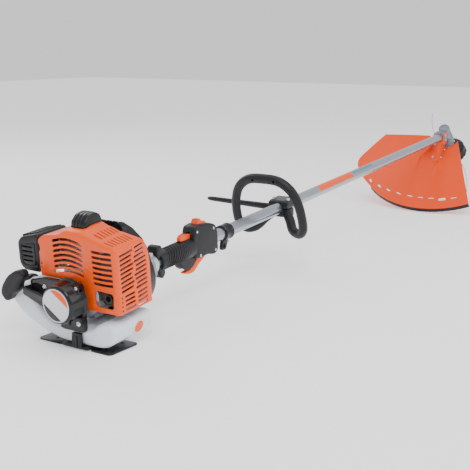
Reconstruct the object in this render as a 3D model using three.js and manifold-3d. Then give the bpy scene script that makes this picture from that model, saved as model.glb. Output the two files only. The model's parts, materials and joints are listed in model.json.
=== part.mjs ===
// A petrol brush cutter: two-stroke engine, straight shaft, loop handle, bevel gear head and line head.
// Millimetres, +Z up. The tool frame has X along the shaft from the starter to the head, Y to the left and
// Z up. It is tilted so that the stand's feet and the guard's skirt both rest on the ground.

import * as THREE from 'three';
import { mergeVertices } from 'three/addons/utils/BufferGeometryUtils.js';
import Module from 'manifold-3d';

const wasm = await Module();
wasm.setup();

// ---- driving dimensions -------------------------------------------------------------------------------

const gap = 0.3; // clearance between pieces that touch
const slide = 0.5; // clearance between pieces that run in each other

const axisHeight = 89.9; // crank axis over the ground, under the starter's rear face
const headStation = 1894.4; // gear head centre along the shaft
const headAngle = THREE.MathUtils.degToRad(59.8); // shaft axis to output axis

const tubeRadius = 14;
const tubeWall = 1.5;
const tubeStart = 248;
const tubeEnd = headStation - 34;
const driveShaftRadius = 4;
const drumRadius = 38;
const strokeHalf = 17;
const boreRadius = 20;
const fanRadius = 48;
const pulleyRadius = 24;
const ropeRadius = 1.8;
const ropeRise = THREE.MathUtils.degToRad(17.5); // the rope leaves the starter leftwards and upwards
const ropeX = 30;

const coverRear = 57;
const coverFront = 148;
const coverRight = -100;
const coverLeft = 91;
const coverWall = 3;
const coverTop = 121;
const filterBaseY0 = coverLeft - 7;
const filterBaseY1 = coverLeft;
const filterLeft = 148;

const tankRear = 40;
const tankFront = 150;
const tankWall = 2.5;
const tankTop = fanRadius + 8; // below the shaft axis, under the fan housing
const footThickness = 3;

const gripStart = 278;
const handleEnd = 486;
const harnessStart = handleEnd + 34;
const harnessWidth = 30;
const loopStation = harnessStart + 265;
const loopWidth = 103;
const loopHeight = 98;
const barReach = 242;
const barRadius = 8.5;

const guardRadius = 303;
const guardWall = 3;
const skirtDepth = 77; // lowest edge of the skirt below the gear head centre
const skirtHeight = 13;
const skirtLeft = THREE.MathUtils.degToRad(-43);
const skirtRight = THREE.MathUtils.degToRad(31);
const padDepth = 25; // the flat part of the guard under its bracket
const headRadius = 56;
const lineReach = 240;
const lineRadius = 1.35;
const outputRadius = 5;

// The tilt that puts the rear of the skirt on the ground while the starter axis stays at axisHeight.
const skirtX = headStation + skirtDepth * Math.cos(headAngle) - guardRadius * Math.sin(headAngle);
const skirtDrop = skirtDepth * Math.sin(headAngle) + guardRadius * Math.cos(headAngle);
const tilt = Math.atan2(skirtDrop, skirtX) - Math.asin((axisHeight - gap) / Math.hypot(skirtX, skirtDrop));

// ---- solids -------------------------------------------------------------------------------------------

const toYZ = new THREE.Matrix4().makeBasis(
  new THREE.Vector3(0, 1, 0), new THREE.Vector3(0, 0, 1), new THREE.Vector3(1, 0, 0));
const toXZ = new THREE.Matrix4().makeBasis(
  new THREE.Vector3(1, 0, 0), new THREE.Vector3(0, 0, 1), new THREE.Vector3(0, -1, 0));

// A closed three.js geometry as a solid whose faces point outwards.
function solid(geometry) {
  const plain = geometry.index ? geometry.clone() : geometry;
  plain.deleteAttribute('normal');
  plain.deleteAttribute('uv');
  const merged = mergeVertices(plain, 1e-4);
  const vertices = new Float32Array(merged.attributes.position.array);
  const triangles = [];
  const index = merged.index.array;
  for (let i = 0; i < index.length; i += 3) {
    const [a, b, c] = [index[i], index[i + 1], index[i + 2]];
    if (a !== b && b !== c && a !== c) triangles.push(a, b, c);
  }
  const corner = (k) => new THREE.Vector3().fromArray(vertices, 3 * k);
  let volume = 0;
  for (let i = 0; i < triangles.length; i += 3) {
    volume += corner(triangles[i]).dot(corner(triangles[i + 1]).cross(corner(triangles[i + 2])));
  }
  if (volume < 0) triangles.reverse();
  const mesh = new wasm.Mesh({ numProp: 3, vertProperties: vertices, triVerts: new Uint32Array(triangles) });
  return new wasm.Manifold(mesh);
}

const join = (first, ...rest) => rest.reduce((whole, piece) => whole.add(piece), first);
const cut = (first, ...rest) => rest.reduce((whole, piece) => whole.subtract(piece), first);

function shapeOf(points) {
  return new THREE.Shape(points.map(([a, b]) => new THREE.Vector2(a, b)));
}

// Rounds every corner of an outline with a short arc, no longer than half of either side.
function rounded(points, radius, steps = 3) {
  const out = [];
  points.forEach((point, i) => {
    const here = new THREE.Vector2(...point);
    const before = new THREE.Vector2(...points[(i + points.length - 1) % points.length]);
    const after = new THREE.Vector2(...points[(i + 1) % points.length]);
    const reach = Math.min(radius, here.distanceTo(before) * 0.48, here.distanceTo(after) * 0.48);
    const start = here.clone().add(before.sub(here).setLength(reach));
    const end = here.clone().add(after.sub(here).setLength(reach));
    const curve = new THREE.QuadraticBezierCurve(start, here, end);
    curve.getPoints(steps).forEach((p) => out.push([p.x, p.y]));
  });
  return out;
}

function extruded(points, depth) {
  return new THREE.ExtrudeGeometry(shapeOf(points), { depth, bevelEnabled: false });
}

// An outline of (Y, Z) points pushed along X, of (X, Z) points across Y, and of (X, Y) points up Z.
const alongX = (points, x0, x1) =>
  solid(extruded(points, x1 - x0).applyMatrix4(toYZ).translate(x0, 0, 0));
const acrossY = (points, y0, y1) =>
  solid(extruded(points, y1 - y0).applyMatrix4(toXZ).translate(0, y1, 0));
const upZ = (points, z0, z1) => solid(extruded(points, z1 - z0).translate(0, 0, z0));

const box = (x0, x1, y0, y1, z0, z1) => solid(new THREE.BoxGeometry(x1 - x0, y1 - y0, z1 - z0)
  .translate((x0 + x1) / 2, (y0 + y1) / 2, (z0 + z1) / 2));

function rod(radius, from, to, sides = 18) {
  const start = new THREE.Vector3(...from);
  const line = new THREE.Vector3(...to).sub(start);
  const turn = new THREE.Quaternion().setFromUnitVectors(new THREE.Vector3(0, 1, 0), line.clone().normalize());
  const geometry = new THREE.CylinderGeometry(radius, radius, line.length(), sides);
  const middle = start.addScaledVector(line, 0.5);
  return solid(geometry.applyQuaternion(turn).translate(middle.x, middle.y, middle.z));
}

const rodX = (radius, x0, x1, y = 0, z = 0, sides = 18) => rod(radius, [x0, y, z], [x1, y, z], sides);
const rodY = (radius, y0, y1, x = 0, z = 0, sides = 18) => rod(radius, [x, y0, z], [x, y1, z], sides);
const rodZ = (radius, z0, z1, x = 0, y = 0, sides = 18) => rod(radius, [x, y, z0], [x, y, z1], sides);

// A profile of (station, radius) points turned around the X axis, or around the Z axis.
function turned(profile, sides) {
  return new THREE.LatheGeometry(profile.map(([station, radius]) => new THREE.Vector2(radius, station)), sides);
}
const turnedX = (profile, sides = 20) => solid(turned(profile, sides).rotateZ(-Math.PI / 2));
const turnedZ = (profile, sides = 20) => solid(turned(profile, sides).rotateX(Math.PI / 2));

const ringX = (outer, inner, x0, x1, sides = 20) =>
  cut(rodX(outer, x0, x1, 0, 0, sides), rodX(inner, x0 - 1, x1 + 1, 0, 0, sides));
const ringZ = (outer, inner, z0, z1, sides = 20) =>
  cut(rodZ(outer, z0, z1, 0, 0, sides), rodZ(inner, z0 - 1, z1 + 1, 0, 0, sides));

// A section swept along a smooth curve through the points.
function swept(points, section, steps) {
  const curve = new THREE.CatmullRomCurve3(points.map((p) => new THREE.Vector3(...p)), false, 'centripetal');
  return solid(new THREE.ExtrudeGeometry(shapeOf(section), { steps, bevelEnabled: false, extrudePath: curve }));
}

function oval(width, height, sides = 10) {
  return Array.from({ length: sides }, (_, i) => {
    const angle = (2 * Math.PI * (i + 0.5)) / sides;
    return [width / 2 * Math.cos(angle), height / 2 * Math.sin(angle)];
  });
}

const circle = (radius, y = 0, z = 0, sides = 18) =>
  oval(2 * radius, 2 * radius, sides).map(([a, b]) => [a + y, b + z]);

// A sheet between two equal grids of points, closed around its four edges.
function sheetBetween(top, bottom) {
  const rows = top.length;
  const columns = top[0].length;
  const positions = [];
  const triangle = (a, b, c) => positions.push(...a, ...b, ...c);
  const quad = (a, b, c, d) => {
    triangle(a, b, c);
    triangle(a, c, d);
  };
  for (let i = 0; i < rows - 1; i += 1) {
    for (let j = 0; j < columns - 1; j += 1) {
      quad(top[i][j], top[i + 1][j], top[i + 1][j + 1], top[i][j + 1]);
      quad(bottom[i][j], bottom[i][j + 1], bottom[i + 1][j + 1], bottom[i + 1][j]);
    }
    quad(top[i][0], bottom[i][0], bottom[i + 1][0], top[i + 1][0]);
    quad(top[i][columns - 1], top[i + 1][columns - 1], bottom[i + 1][columns - 1], bottom[i][columns - 1]);
  }
  for (let j = 0; j < columns - 1; j += 1) {
    quad(top[0][j], top[0][j + 1], bottom[0][j + 1], bottom[0][j]);
    quad(top[rows - 1][j], bottom[rows - 1][j], bottom[rows - 1][j + 1], top[rows - 1][j + 1]);
  }
  const geometry = new THREE.BufferGeometry();
  geometry.setAttribute('position', new THREE.Float32BufferAttribute(positions, 3));
  return solid(geometry);
}

// ---- scene graph --------------------------------------------------------------------------------------

const brushCutter = new THREE.Group();
const tool = new THREE.Group();
tool.rotation.y = -tilt;
tool.position.z = axisHeight;
const head = new THREE.Group(); // Z along the output axis, X forward, origin at the gear head centre
head.position.x = headStation;
head.rotation.y = headAngle - Math.PI / 2;
tool.add(head);
brushCutter.add(tool);

const finish = (color, roughness, metalness) => ({ color, roughness, metalness });
const black = finish(0x1c1d22, 0.42, 0);
const grip = finish(0x22242a, 0.7, 0);
const orange = finish(0xff5a14, 0.38, 0);
const guardOrange = finish(0xf5501e, 0.35, 0);
const milky = finish(0xdfe2e6, 0.4, 0);
const castGrey = finish(0x9a9da3, 0.5, 0.8);
const steel = finish(0xb4b7bc, 0.3, 1);
const tubeGrey = finish(0xa9adb4, 0.35, 0.8);
const darkSteel = finish(0x55575c, 0.45, 0.9);
const foam = finish(0x3a3b36, 0.95, 0);
const rubber = finish(0x18181a, 0.8, 0);
const brass = finish(0xb08d45, 0.35, 1);
const nylon = finish(0xe8a8a0, 0.45, 0);
const silver = finish(0xd8dadd, 0.35, 0.3);

function add(parent, name, body, look) {
  const { vertProperties, triVerts } = body.getMesh();
  const geometry = new THREE.BufferGeometry();
  geometry.setAttribute('position', new THREE.Float32BufferAttribute(new Float32Array(vertProperties), 3));
  geometry.setIndex(new THREE.BufferAttribute(new Uint32Array(triVerts), 1));
  geometry.computeVertexNormals();
  const mesh = new THREE.Mesh(geometry, new THREE.MeshStandardMaterial(look));
  mesh.name = name;
  parent.add(mesh);
}

// ---- recoil starter -----------------------------------------------------------------------------------

const starterFront = 46;
const starterBottom = 60;
const emblemRadius = 31.5;
const bossRadius = 40;
const cavityRadius = 34;
const postRadius = 6;
const pulleyX0 = 22;
const pulleyX1 = 36;
const ropeFoot = [pulleyRadius * Math.sin(ropeRise), -pulleyRadius * Math.cos(ropeRise)];

// A place on the rope's line in the YZ plane, at a distance from where the rope leaves the pulley.
const onRope = (distance, across = 0) => [
  ropeFoot[0] + distance * Math.cos(ropeRise) - across * Math.sin(ropeRise),
  ropeFoot[1] + distance * Math.sin(ropeRise) + across * Math.cos(ropeRise),
];
const armEnd = 101;

// The starter's mounting plate, grown by a margin for what has to clear it.
const starterPlate = (margin) => rounded([[-30 - margin, 33 + margin], [-30 - margin, -starterBottom - margin],
  [30 + margin, -starterBottom - margin], [52 + margin, -30 - margin], [68 + margin, 4 - margin],
  [98 + margin, 14], [98 + margin, 25 + margin], [62, 33 + margin]], 8);

function starterHousing() {
  const boss = turnedX([[2.3, 0], [2.3, bossRadius - 3], [5, bossRadius], [30, bossRadius], [30, 0]], 28);
  const plate = alongX(starterPlate(0), 24, starterFront);
  const arm = alongX(rounded([onRope(30, -11), onRope(armEnd, -9), onRope(armEnd, 10), onRope(30, 14)], 4),
    20, 42);
  const hollow = rodX(cavityRadius, 5.3, starterFront + 1, 0, 0, 24);
  const ropeWay = rod(ropeRadius + 1.2, [ropeX, ...onRope(0)], [ropeX, ...onRope(armEnd + 5)], 12);
  const post = rodX(postRadius, 4, pulleyX1 + 3, 0, 0, 20);
  return join(cut(join(boss, plate, arm), hollow, ropeWay), post);
}

function starterEmblem() {
  return turnedX([[-0.2, 0], [-0.2, emblemRadius - 1.2], [0.6, emblemRadius], [2, emblemRadius], [2, 0]], 32);
}

// The grip is a D-shaped loop: a curved bar for the palm, and a slot for the fingers behind it.
const gripX0 = 17;
const gripX1 = tankRear - 1.5;
function starterGrip() {
  const outline = rounded([[93, 36], [100, 47], [120, 44], [143, 29], [160, 6], [164, -10], [151, -23],
    [141, -20], [129, -5], [114, 2.5], [108, 21]], 8, 3);
  const slot = rounded([[122, 24], [134, 17], [146, 2], [149, -8], [145, -10], [137, -2], [124, 10]], 4, 2);
  const knot = rod(3.5, [ropeX, ...onRope(armEnd + 3)], [ropeX, ...onRope(armEnd + 30)], 12);
  return cut(alongX(outline, gripX0, gripX1), alongX(slot, gripX0 - 1, gripX1 + 1), knot);
}

function starterRope() {
  const thread = rod(ropeRadius, [ropeX, ...onRope(4)], [ropeX, ...onRope(armEnd + 29)], 8);
  return join(thread, rod(3.1, [ropeX, ...onRope(armEnd + 18)], [ropeX, ...onRope(armEnd + 29)], 10));
}

function starterPulley() {
  const floor = pulleyRadius - ropeRadius - slide;
  const rim = pulleyRadius + 4;
  const wheel = turnedX([[pulleyX0, 0], [pulleyX0, rim], [pulleyX0 + 2.5, rim], [ropeX - 3, floor],
    [ropeX + 3, floor], [pulleyX1 - 2.5, rim], [pulleyX1, rim], [pulleyX1, 0]], 22);
  return cut(wheel, rodX(postRadius + slide, pulleyX0 - 1, pulleyX1 + 1, 0, 0, 20));
}

function rewindSpring() {
  const turns = 2.5;
  const stepsPerTurn = 14;
  const outer = [];
  const inner = [];
  for (let i = 0; i <= turns * stepsPerTurn; i += 1) {
    const angle = (2 * Math.PI * i) / stepsPerTurn;
    const radius = 9 + (20 * i) / (turns * stepsPerTurn);
    outer.push([(radius + 1.2) * Math.cos(angle), (radius + 1.2) * Math.sin(angle)]);
    inner.unshift([radius * Math.cos(angle), radius * Math.sin(angle)]);
  }
  return alongX([...outer, ...inner], 8, pulleyX0 - 3);
}

add(tool, 'starter_housing', starterHousing(), black);
add(tool, 'starter_emblem', starterEmblem(), silver);
add(tool, 'starter_grip', starterGrip(), grip);
add(tool, 'starter_rope', starterRope(), rubber);
add(tool, 'starter_pulley', starterPulley(), black);
add(tool, 'rewind_spring', rewindSpring(), steel);

// ---- engine block -------------------------------------------------------------------------------------

const caseX0 = coverRear + coverWall + 1;
const neckX0 = starterFront + gap;
const caseX1 = 128;
const boreX = 97; // cylinder axis along the shaft
const caseTop = 46;
const finTop = 110;
const shaftRadius = 6;
const pistonPin = 75;
const crownHeight = 90;
const webRadius = 30;

function crankcase() {
  const barrel = turnedX([[caseX0, 0], [caseX0, 34], [caseX0 + 6, 43], [caseX1 - 6, 43], [caseX1, 36],
    [caseX1, 0]], 22);
  const deck = box(boreX - 34, boreX + 31, -34, 34, 20, caseTop);
  const neck = box(neckX0, caseX0 + 4, -10, 30, -40, 24);
  const sump = box(caseX0 + 14, caseX1 - 14, -20, 20, -46, -30);
  const room = rodX(webRadius + 3, boreX - 21, boreX + 21, 0, 0, 22);
  const throat = rodZ(boreRadius + 4, 10, caseTop + 1, boreX, 0, 24);
  const shaftWay = rodX(shaftRadius + slide, neckX0 - 1, caseX1 + 1, 0, 0, 20);
  return cut(join(barrel, neck, deck, sump), room, throat, shaftWay);
}

function crankshaft() {
  const rear = rodX(shaftRadius, neckX0 - 5, boreX - 7, 0, 0, 20);
  const front = rodX(shaftRadius, boreX + 7, 172, 0, 0, 20);
  const webs = [boreX - 17, boreX + 7].map((x) => rodX(webRadius, x, x + 10, 0, 0, 22));
  const pin = rodX(5.5, boreX - 8, boreX + 8, 0, strokeHalf, 14);
  return join(rear, front, ...webs, pin);
}

// The rod's foot stops just above the circle of the crank pin, because the linkage is opened there.
function connectingRod() {
  const shank = box(boreX - 4, boreX + 4, -7, 7, strokeHalf, pistonPin);
  const eye = rodX(9, boreX - 4, boreX + 4, 0, pistonPin, 20);
  const pinSweep = rodX(strokeHalf + 5.5 + slide, boreX - 10, boreX + 10, 0, 0, 24);
  return cut(join(shank, eye), pinSweep, rodX(5.5 + gap, boreX - 10, boreX + 10, 0, pistonPin, 16));
}

function piston() {
  const skirt = rodZ(boreRadius, crownHeight - 30, crownHeight, boreX, 0, 20);
  const hollow = rodZ(boreRadius - 2.5, crownHeight - 31, crownHeight - 4.5, boreX, 0, 20);
  const wristPin = rodX(5.5, boreX - boreRadius + 1, boreX + boreRadius - 1, 0, pistonPin, 16);
  return join(cut(skirt, hollow), wristPin);
}

function cylinder() {
  const barrel = rodZ(boreRadius + 6, caseTop + gap, finTop - 4, boreX, 0, 16);
  const flange = box(boreX - 32, boreX + 29, -32, 32, caseTop + gap, caseTop + 5);
  const fins = [];
  for (let z = caseTop + 13; z < finTop - 5; z += 10) {
    const width = Math.min(40, 34 + (z - caseTop) * 0.2);
    fins.push(box(boreX - 34, boreX + 30, -width, width, z, z + 2));
  }
  const exhaust = box(boreX - 12, boreX + 12, -46, -20, 60, 84);
  const intake = box(boreX - 12, boreX + 12, 20, 46, 50, 74);
  const bore = rodZ(boreRadius + gap, caseTop - 1, crownHeight + 5, boreX, 0, 20);
  const ports = join(rodY(8, -50, 0, boreX, 72, 12), rodY(8, 0, 50, boreX, 62, 12));
  const plugWay = rodZ(5.2 + gap, crownHeight, finTop + 2, boreX, 0, 12);
  return cut(join(barrel, flange, ...fins, exhaust, intake), bore, ports, plugWay);
}

function sparkPlug() {
  const thread = rodZ(5.2, crownHeight + 3, finTop + 1, boreX, 0, 12);
  const hex = rodZ(8, finTop + 1, finTop + 7, boreX, 0, 6);
  const insulator = rodZ(4, finTop + 6, finTop + 22, boreX, 0, 12);
  return join(thread, hex, insulator);
}

function sparkPlugCap() {
  const profile = rounded([[75, coverTop + 2], [77, 136], [90, 147], [108, 149], [119, 143], [124, 131],
    [122, coverTop + 1], [98, coverTop]], 6, 2);
  const outline = acrossY(profile, -16, 20);
  return cut(outline, rodZ(4 + slide, coverTop - 5, finTop + 24, boreX, 0, 12));
}

function muffler() {
  const shell = acrossY(rounded([[70, -16], [70, 82], [128, 82], [128, -16]], 14, 3), -92, -50);
  const hollow = acrossY(rounded([[72, -14], [72, 80], [126, 80], [126, -14]], 12, 3), -90, -52);
  const inlet = rodY(8, -56, -46 - gap, boreX, 72, 12);
  const outlet = rodX(8, 62, 74, -70, 4, 14);
  const ways = join(rodY(6, -58, -40, boreX, 72, 12), rodX(6.4, 58, 80, -70, 4, 14));
  return cut(join(cut(shell, hollow), inlet, outlet), ways);
}

function intakeSpacer() {
  return cut(box(boreX - 12, boreX + 12, 46 + gap, 56, 50, 74), rodY(8, 40, 60, boreX, 62, 12));
}

const carbBottom = 42;
const bulbTravel = 3.5;
const bulbY = 70;
function carburetor() {
  const block = box(boreX - 17, boreX + 17, 56 + gap, filterBaseY0 - gap, 48, 80);
  const bowl = box(boreX - 14, boreX + 14, 58, filterBaseY0 - 2, carbBottom, 49);
  const bulbSeat = rodZ(9.5 + slide, carbBottom - 1, carbBottom + 5, boreX, bulbY, 16);
  return cut(join(block, bowl), bulbSeat, rodY(8, 50, 90, boreX, 62, 12));
}

function primerBulb() {
  const top = carbBottom + 5 - bulbTravel - slide;
  const dome = [[top, 0], [top, 9.5], [top - 4, 9.5], [top - 9, 7], [top - 11, 0]];
  return turnedZ(dome, 16).translate(boreX, bulbY, 0);
}

add(tool, 'crankcase', crankcase(), castGrey);
add(tool, 'crankshaft', crankshaft(), steel);
add(tool, 'connecting_rod', connectingRod(), steel);
add(tool, 'piston', piston(), castGrey);
add(tool, 'cylinder', cylinder(), castGrey);
add(tool, 'spark_plug', sparkPlug(), steel);
add(tool, 'spark_plug_cap', sparkPlugCap(), black);
add(tool, 'muffler', muffler(), darkSteel);
add(tool, 'intake_spacer', intakeSpacer(), black);
add(tool, 'carburetor', carburetor(), castGrey);
add(tool, 'primer_bulb', primerBulb(), milky);

// ---- air filter ---------------------------------------------------------------------------------------

const filterX0 = 62;
const filterX1 = 140;
const filterZ0 = 30;
const filterZ1 = 102;

function filterBase() {
  const plate = alongX(rounded([[filterBaseY0, filterZ0 + 3], [filterBaseY0, filterZ1 - 6],
    [filterBaseY1, filterZ1 - 3], [filterBaseY1, filterZ0 + 3]], 2, 1), filterX0 + 1, filterX1 - 1);
  return cut(plate, rodY(8, filterBaseY0 - 9, filterBaseY1 + 9, boreX, 62, 12));
}

function filterElement() {
  return box(filterX0 + 8, filterX1 - 8, filterBaseY1 + 2, filterLeft - 14, filterZ0 + 8, filterZ1 - 16);
}

function filterCover() {
  const y0 = filterBaseY1 + gap;
  const outline = rounded([[y0, filterZ0], [y0, filterZ1 + 5], [filterLeft - 10, filterZ1 - 6],
    [filterLeft, filterZ1 - 16], [filterLeft, filterZ0 + 12], [filterLeft - 12, filterZ0]], 6, 3);
  const inner = rounded([[y0 - 1, filterZ0 + 3], [y0 - 1, filterZ1], [filterLeft - 12, filterZ1 - 10],
    [filterLeft - 3, filterZ1 - 18], [filterLeft - 3, filterZ0 + 14], [filterLeft - 13, filterZ0 + 3]], 4, 2);
  const shell = cut(alongX(outline, filterX0 - 2, filterX1), alongX(inner, filterX0 + 1, filterX1 - 3));
  const ribs = [];
  for (let y = y0 + 6; y < filterLeft - 14; y += 8) {
    const top = filterZ1 + 4 - (y - y0) * 0.22;
    ribs.push(box(filterX0 + 6, filterX1 - 6, y, y + 3.5, top - 5, top + 2.5));
  }
  return join(shell, ...ribs);
}

const leverPivot = [filterX1 + 1, (filterBaseY0 + filterBaseY1) / 2, 70];
function chokeLever() {
  const [x, y, z] = leverPivot;
  const boss = rodX(5, x - 0.5, x + 3, y, z, 16);
  const arm = alongX(rounded([[y - 4, z], [y + 4, z], [y + 3, z - 30], [y - 3, z - 30]], 2, 2), x, x + 3);
  const tab = alongX(rounded([[y - 4, z - 24], [y + 4, z - 24], [y + 4, z - 32], [y - 4, z - 32]], 2, 2),
    x, x + 9);
  return join(boss, arm, tab);
}

add(tool, 'air_filter_base', filterBase(), black);
add(tool, 'air_filter_element', filterElement(), foam);
add(tool, 'air_filter_cover', filterCover(), black);
add(tool, 'choke_lever', chokeLever(), black);

// ---- engine cover -------------------------------------------------------------------------------------

// The cover's section across the engine, drawn in by a margin for its inside.
function coverOutline(margin) {
  const right = coverRight + margin;
  return [[coverLeft - gap, 26], [coverLeft - gap, 100 - margin], [72, 109 - margin], [24, coverTop - margin],
    [-20, coverTop - margin], [-58, 111 - margin], [right + 5, 104 - margin], [right, 97 - margin],
    [right, -24], [-12, -24], [-16, 26]];
}

// Pushes the section's lower and left edges out, so that the shell stays open there.
function openEdges([y, z]) {
  if (z > 27) return [y > coverLeft - 5 ? y + 9 : y, z];
  return [y > -20 ? y + 9 : y, z - 9];
}

function louvre(y0, y1, z, height, arch) {
  const steps = 4;
  const upper = [];
  const lower = [];
  for (let i = 0; i <= steps; i += 1) {
    const t = i / steps;
    const rise = arch * Math.sin(Math.PI * t);
    upper.push([y0 + (y1 - y0) * t, z + rise + height]);
    lower.unshift([y0 + (y1 - y0) * t, z + rise]);
  }
  return [...upper, ...lower];
}

function engineCover() {
  const x0 = coverRear;
  const shell = alongX(coverOutline(0), x0, coverFront);
  const inside = alongX(coverOutline(coverWall).map(openEdges),
    x0 + coverWall, coverFront + 1);
  const cuts = [];
  for (let row = 0; row < 7; row += 1) {
    const z = 37.5 + row * 9.8;
    cuts.push(alongX(louvre(-20, 52, z, 5.4, 6), x0 - 1, x0 + coverWall + 1));
    cuts.push(box(x0 - 1, x0 + coverWall + 1, -90, -41, z - 7.5, z - 2.3));
  }
  cuts.push(alongX(rounded([[-42, -14], [-42, 20], [-88, 18], [-86, -14]], 7, 2), x0 - 1, x0 + coverWall + 1));
  for (let row = 0; row < 10; row += 1) {
    const z = 14 + row * 8.4;
    const slope = 5;
    cuts.push(acrossY([[66, z - 4], [102, z - 4 + slope], [102, z + 0.6 + slope], [66, z + 0.6]],
      coverRight - 1, coverRight + coverWall + 1));
    if (row > 0) {
      cuts.push(acrossY([[108, z - 9], [138, z - 9 + slope], [138, z - 4.4 + slope], [108, z - 4.4]],
        coverRight - 1, coverRight + coverWall + 1));
    }
  }
  for (let row = 0; row < 4; row += 1) {
    const z = -18 + row * 8;
    cuts.push(box(72, 104, coverRight - 1, coverRight + coverWall + 1, z, z + 4.4));
    cuts.push(box(64, 68, coverRight - 1, coverRight + coverWall + 1, z, z + 4.4));
  }
  for (let row = 0; row < 6; row += 1) {
    const x = 72 + row * 9;
    cuts.push(box(x, x + 4, -52, -28, 90, 130));
    cuts.push(box(x - 6, x - 2, -90, -64, 90, 130));
  }
  const crest = acrossY([[62, coverTop - 1], [71, 131], [96, 134], [129, 133], [140, 127], [145, coverTop - 1],
    [145, coverTop - coverWall], [62, coverTop - coverWall]], -21, 25);
  const capRoom = box(73, 126, -18, 22, coverTop - coverWall - 1, 140);
  const noseCut = acrossY([[coverFront - 34, 140], [coverFront + 5, 140], [coverFront + 5, 62],
    [coverFront - 4, 84], [coverFront - 16, 102]], -110, 110);
  return cut(join(cut(shell, inside), crest), capRoom, noseCut, ...cuts);
}

add(tool, 'engine_cover', engineCover(), orange);

// ---- fan housing, flywheel and clutch -----------------------------------------------------------------

const fanX0 = 132;
const fanX1 = 209;
const fanHousingRadius = 62;
const openingRadius = 44;
const fanFloor = fanRadius + 6.5; // the housing's flat underside, over the tank

function fanHousing() {
  const side = [[fanX0, -fanFloor], [204, -fanFloor], [fanX1, -fanFloor + 6], [fanX1, 54], [197, 80],
    [179, 103], [163, 117], [150, 121], [150, 84], [fanX0, 70]];
  const section = (margin) => join(
    rodX(fanHousingRadius - margin, fanX0 - 1, fanX1 + 1, 0, 0, 24),
    alongX(rounded([[-52 + margin, 24], [-40 + margin, 121 - margin], [40 - margin, 121 - margin],
      [52 - margin, 24]], 20, 3), fanX0 - 1, fanX1 + 1));
  const inner = [[fanX0 - 2, coverWall - fanFloor], [202, coverWall - fanFloor], [205, -46], [205, 52],
    [193, 78], [176, 100], [160, 114], [153, 117], [153, 120], [fanX0 - 2, 120]];
  const outside = section(0).intersect(acrossY(side, -80, 80));
  const inside = section(coverWall).intersect(acrossY(inner, -80, 80));
  return cut(outside, inside, rodX(openingRadius, 190, fanX1 + 2, 0, 0, 24));
}

function flywheelFan() {
  const hub = rodX(18, 146, 170, 0, 0, 24);
  const disc = rodX(fanRadius, 143, 148, 0, 0, 24);
  const blades = [];
  const count = 12;
  for (let i = 0; i < count; i += 1) {
    const blade = box(147, 166, -1.4, 1.4, 20, fanRadius - 1);
    blades.push(blade.rotate([(360 * i) / count, 0, 0]));
  }
  return cut(join(hub, disc, ...blades), rodX(shaftRadius + gap, 140, 172.5, 0, 0, 20));
}

function ignitionCoil() {
  const laminations = box(143, 153, -16, 16, fanRadius + 2, fanRadius + 14);
  return join(laminations, box(139, 157, -11, 11, fanRadius + 8, fanRadius + 28));
}

const shoeX0 = 176;
const shoeX1 = 190;
function clutchShoe(side) {
  const outer = rodX(drumRadius - 2, shoeX0, shoeX1, 0, 0, 24);
  const core = rodX(15, shoeX0 - 1, shoeX1 + 1, 0, 0, 20);
  const half = side > 0 ? box(shoeX0, shoeX1, 4, 60, -60, 60) : box(shoeX0, shoeX1, -60, -4, -60, 60);
  return cut(outer, core).intersect(half);
}

const drumX0 = 174;
const drumX1 = 196;
const drumShaftEnd = 262;
function clutchDrum() {
  const cup = cut(rodX(drumRadius + 2.5, drumX0, drumX1, 0, 0, 24),
    rodX(drumRadius, drumX0 - 1, drumX1 - 3, 0, 0, 24));
  const stub = rodX(6.5, drumX1 - 1, drumShaftEnd, 0, 0, 20);
  return cut(join(cup, stub), rodX(driveShaftRadius + gap, tubeStart + 2, drumShaftEnd + 1, 0, 0, 16));
}

const collarEnd = gripStart - 4;
const bearingX0 = 226;
const bearingX1 = 238;
const bearingRadius = 16;
function clutchHousing() {
  const outside = turnedX([[fanX1 + gap, 0], [fanX1 + gap, 50], [221, 48], [246, 33], [258, 24], [262, 20],
    [collarEnd, 20], [collarEnd, 0]], 24);
  const belly = turnedX([[fanX1 - 1, 0], [fanX1 - 1, 43], [214, 42], [bearingX0 - 3, 20], [bearingX0 - 3, 0]],
    24);
  const seat = rodX(bearingRadius + gap, bearingX0 - 4, bearingX1, 0, 0, 24);
  const neck = rodX(10, bearingX1 - 1, tubeStart, 0, 0, 20);
  const socket = rodX(tubeRadius + gap, tubeStart - gap, 300, 0, 0, 24);
  return cut(outside, belly, seat, neck, socket);
}

add(tool, 'fan_housing', fanHousing(), black);
add(tool, 'flywheel_fan', flywheelFan(), castGrey);
add(tool, 'ignition_coil', ignitionCoil(), darkSteel);
add(tool, 'clutch_shoe_1', clutchShoe(1), darkSteel);
add(tool, 'clutch_shoe_2', clutchShoe(-1), darkSteel);
add(tool, 'clutch_drum', clutchDrum(), darkSteel);
add(tool, 'clutch_bearing', ringX(bearingRadius, 6.5 + gap, bearingX0, bearingX1 - gap, 24), steel);
add(tool, 'clutch_housing', clutchHousing(), castGrey);

// ---- fuel tank and stand ------------------------------------------------------------------------------

// The tank's section: a saddle with a low right half and a left wing that sweeps up beside the engine.
function tankOutline(margin) {
  const m = margin;
  return rounded([[-98 + m, -46 - m * 0.5], [-90 + m * 0.6, -75 + m], [-66, -86 + m], [30, -86 + m],
    [74, -76 + m * 1.2], [126, -54 + m * 1.4], [158 - m, -26 + m * 0.4], [154 - m, 2 - m], [134, 8 - m],
    [108 + m * 0.6, -6 - m], [78, -38 - m], [52, -tankTop - m], [-40, -tankTop - m],
    [-60, -38 - m], [-88 + m, -36 - m]], 12, 2);
}

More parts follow.
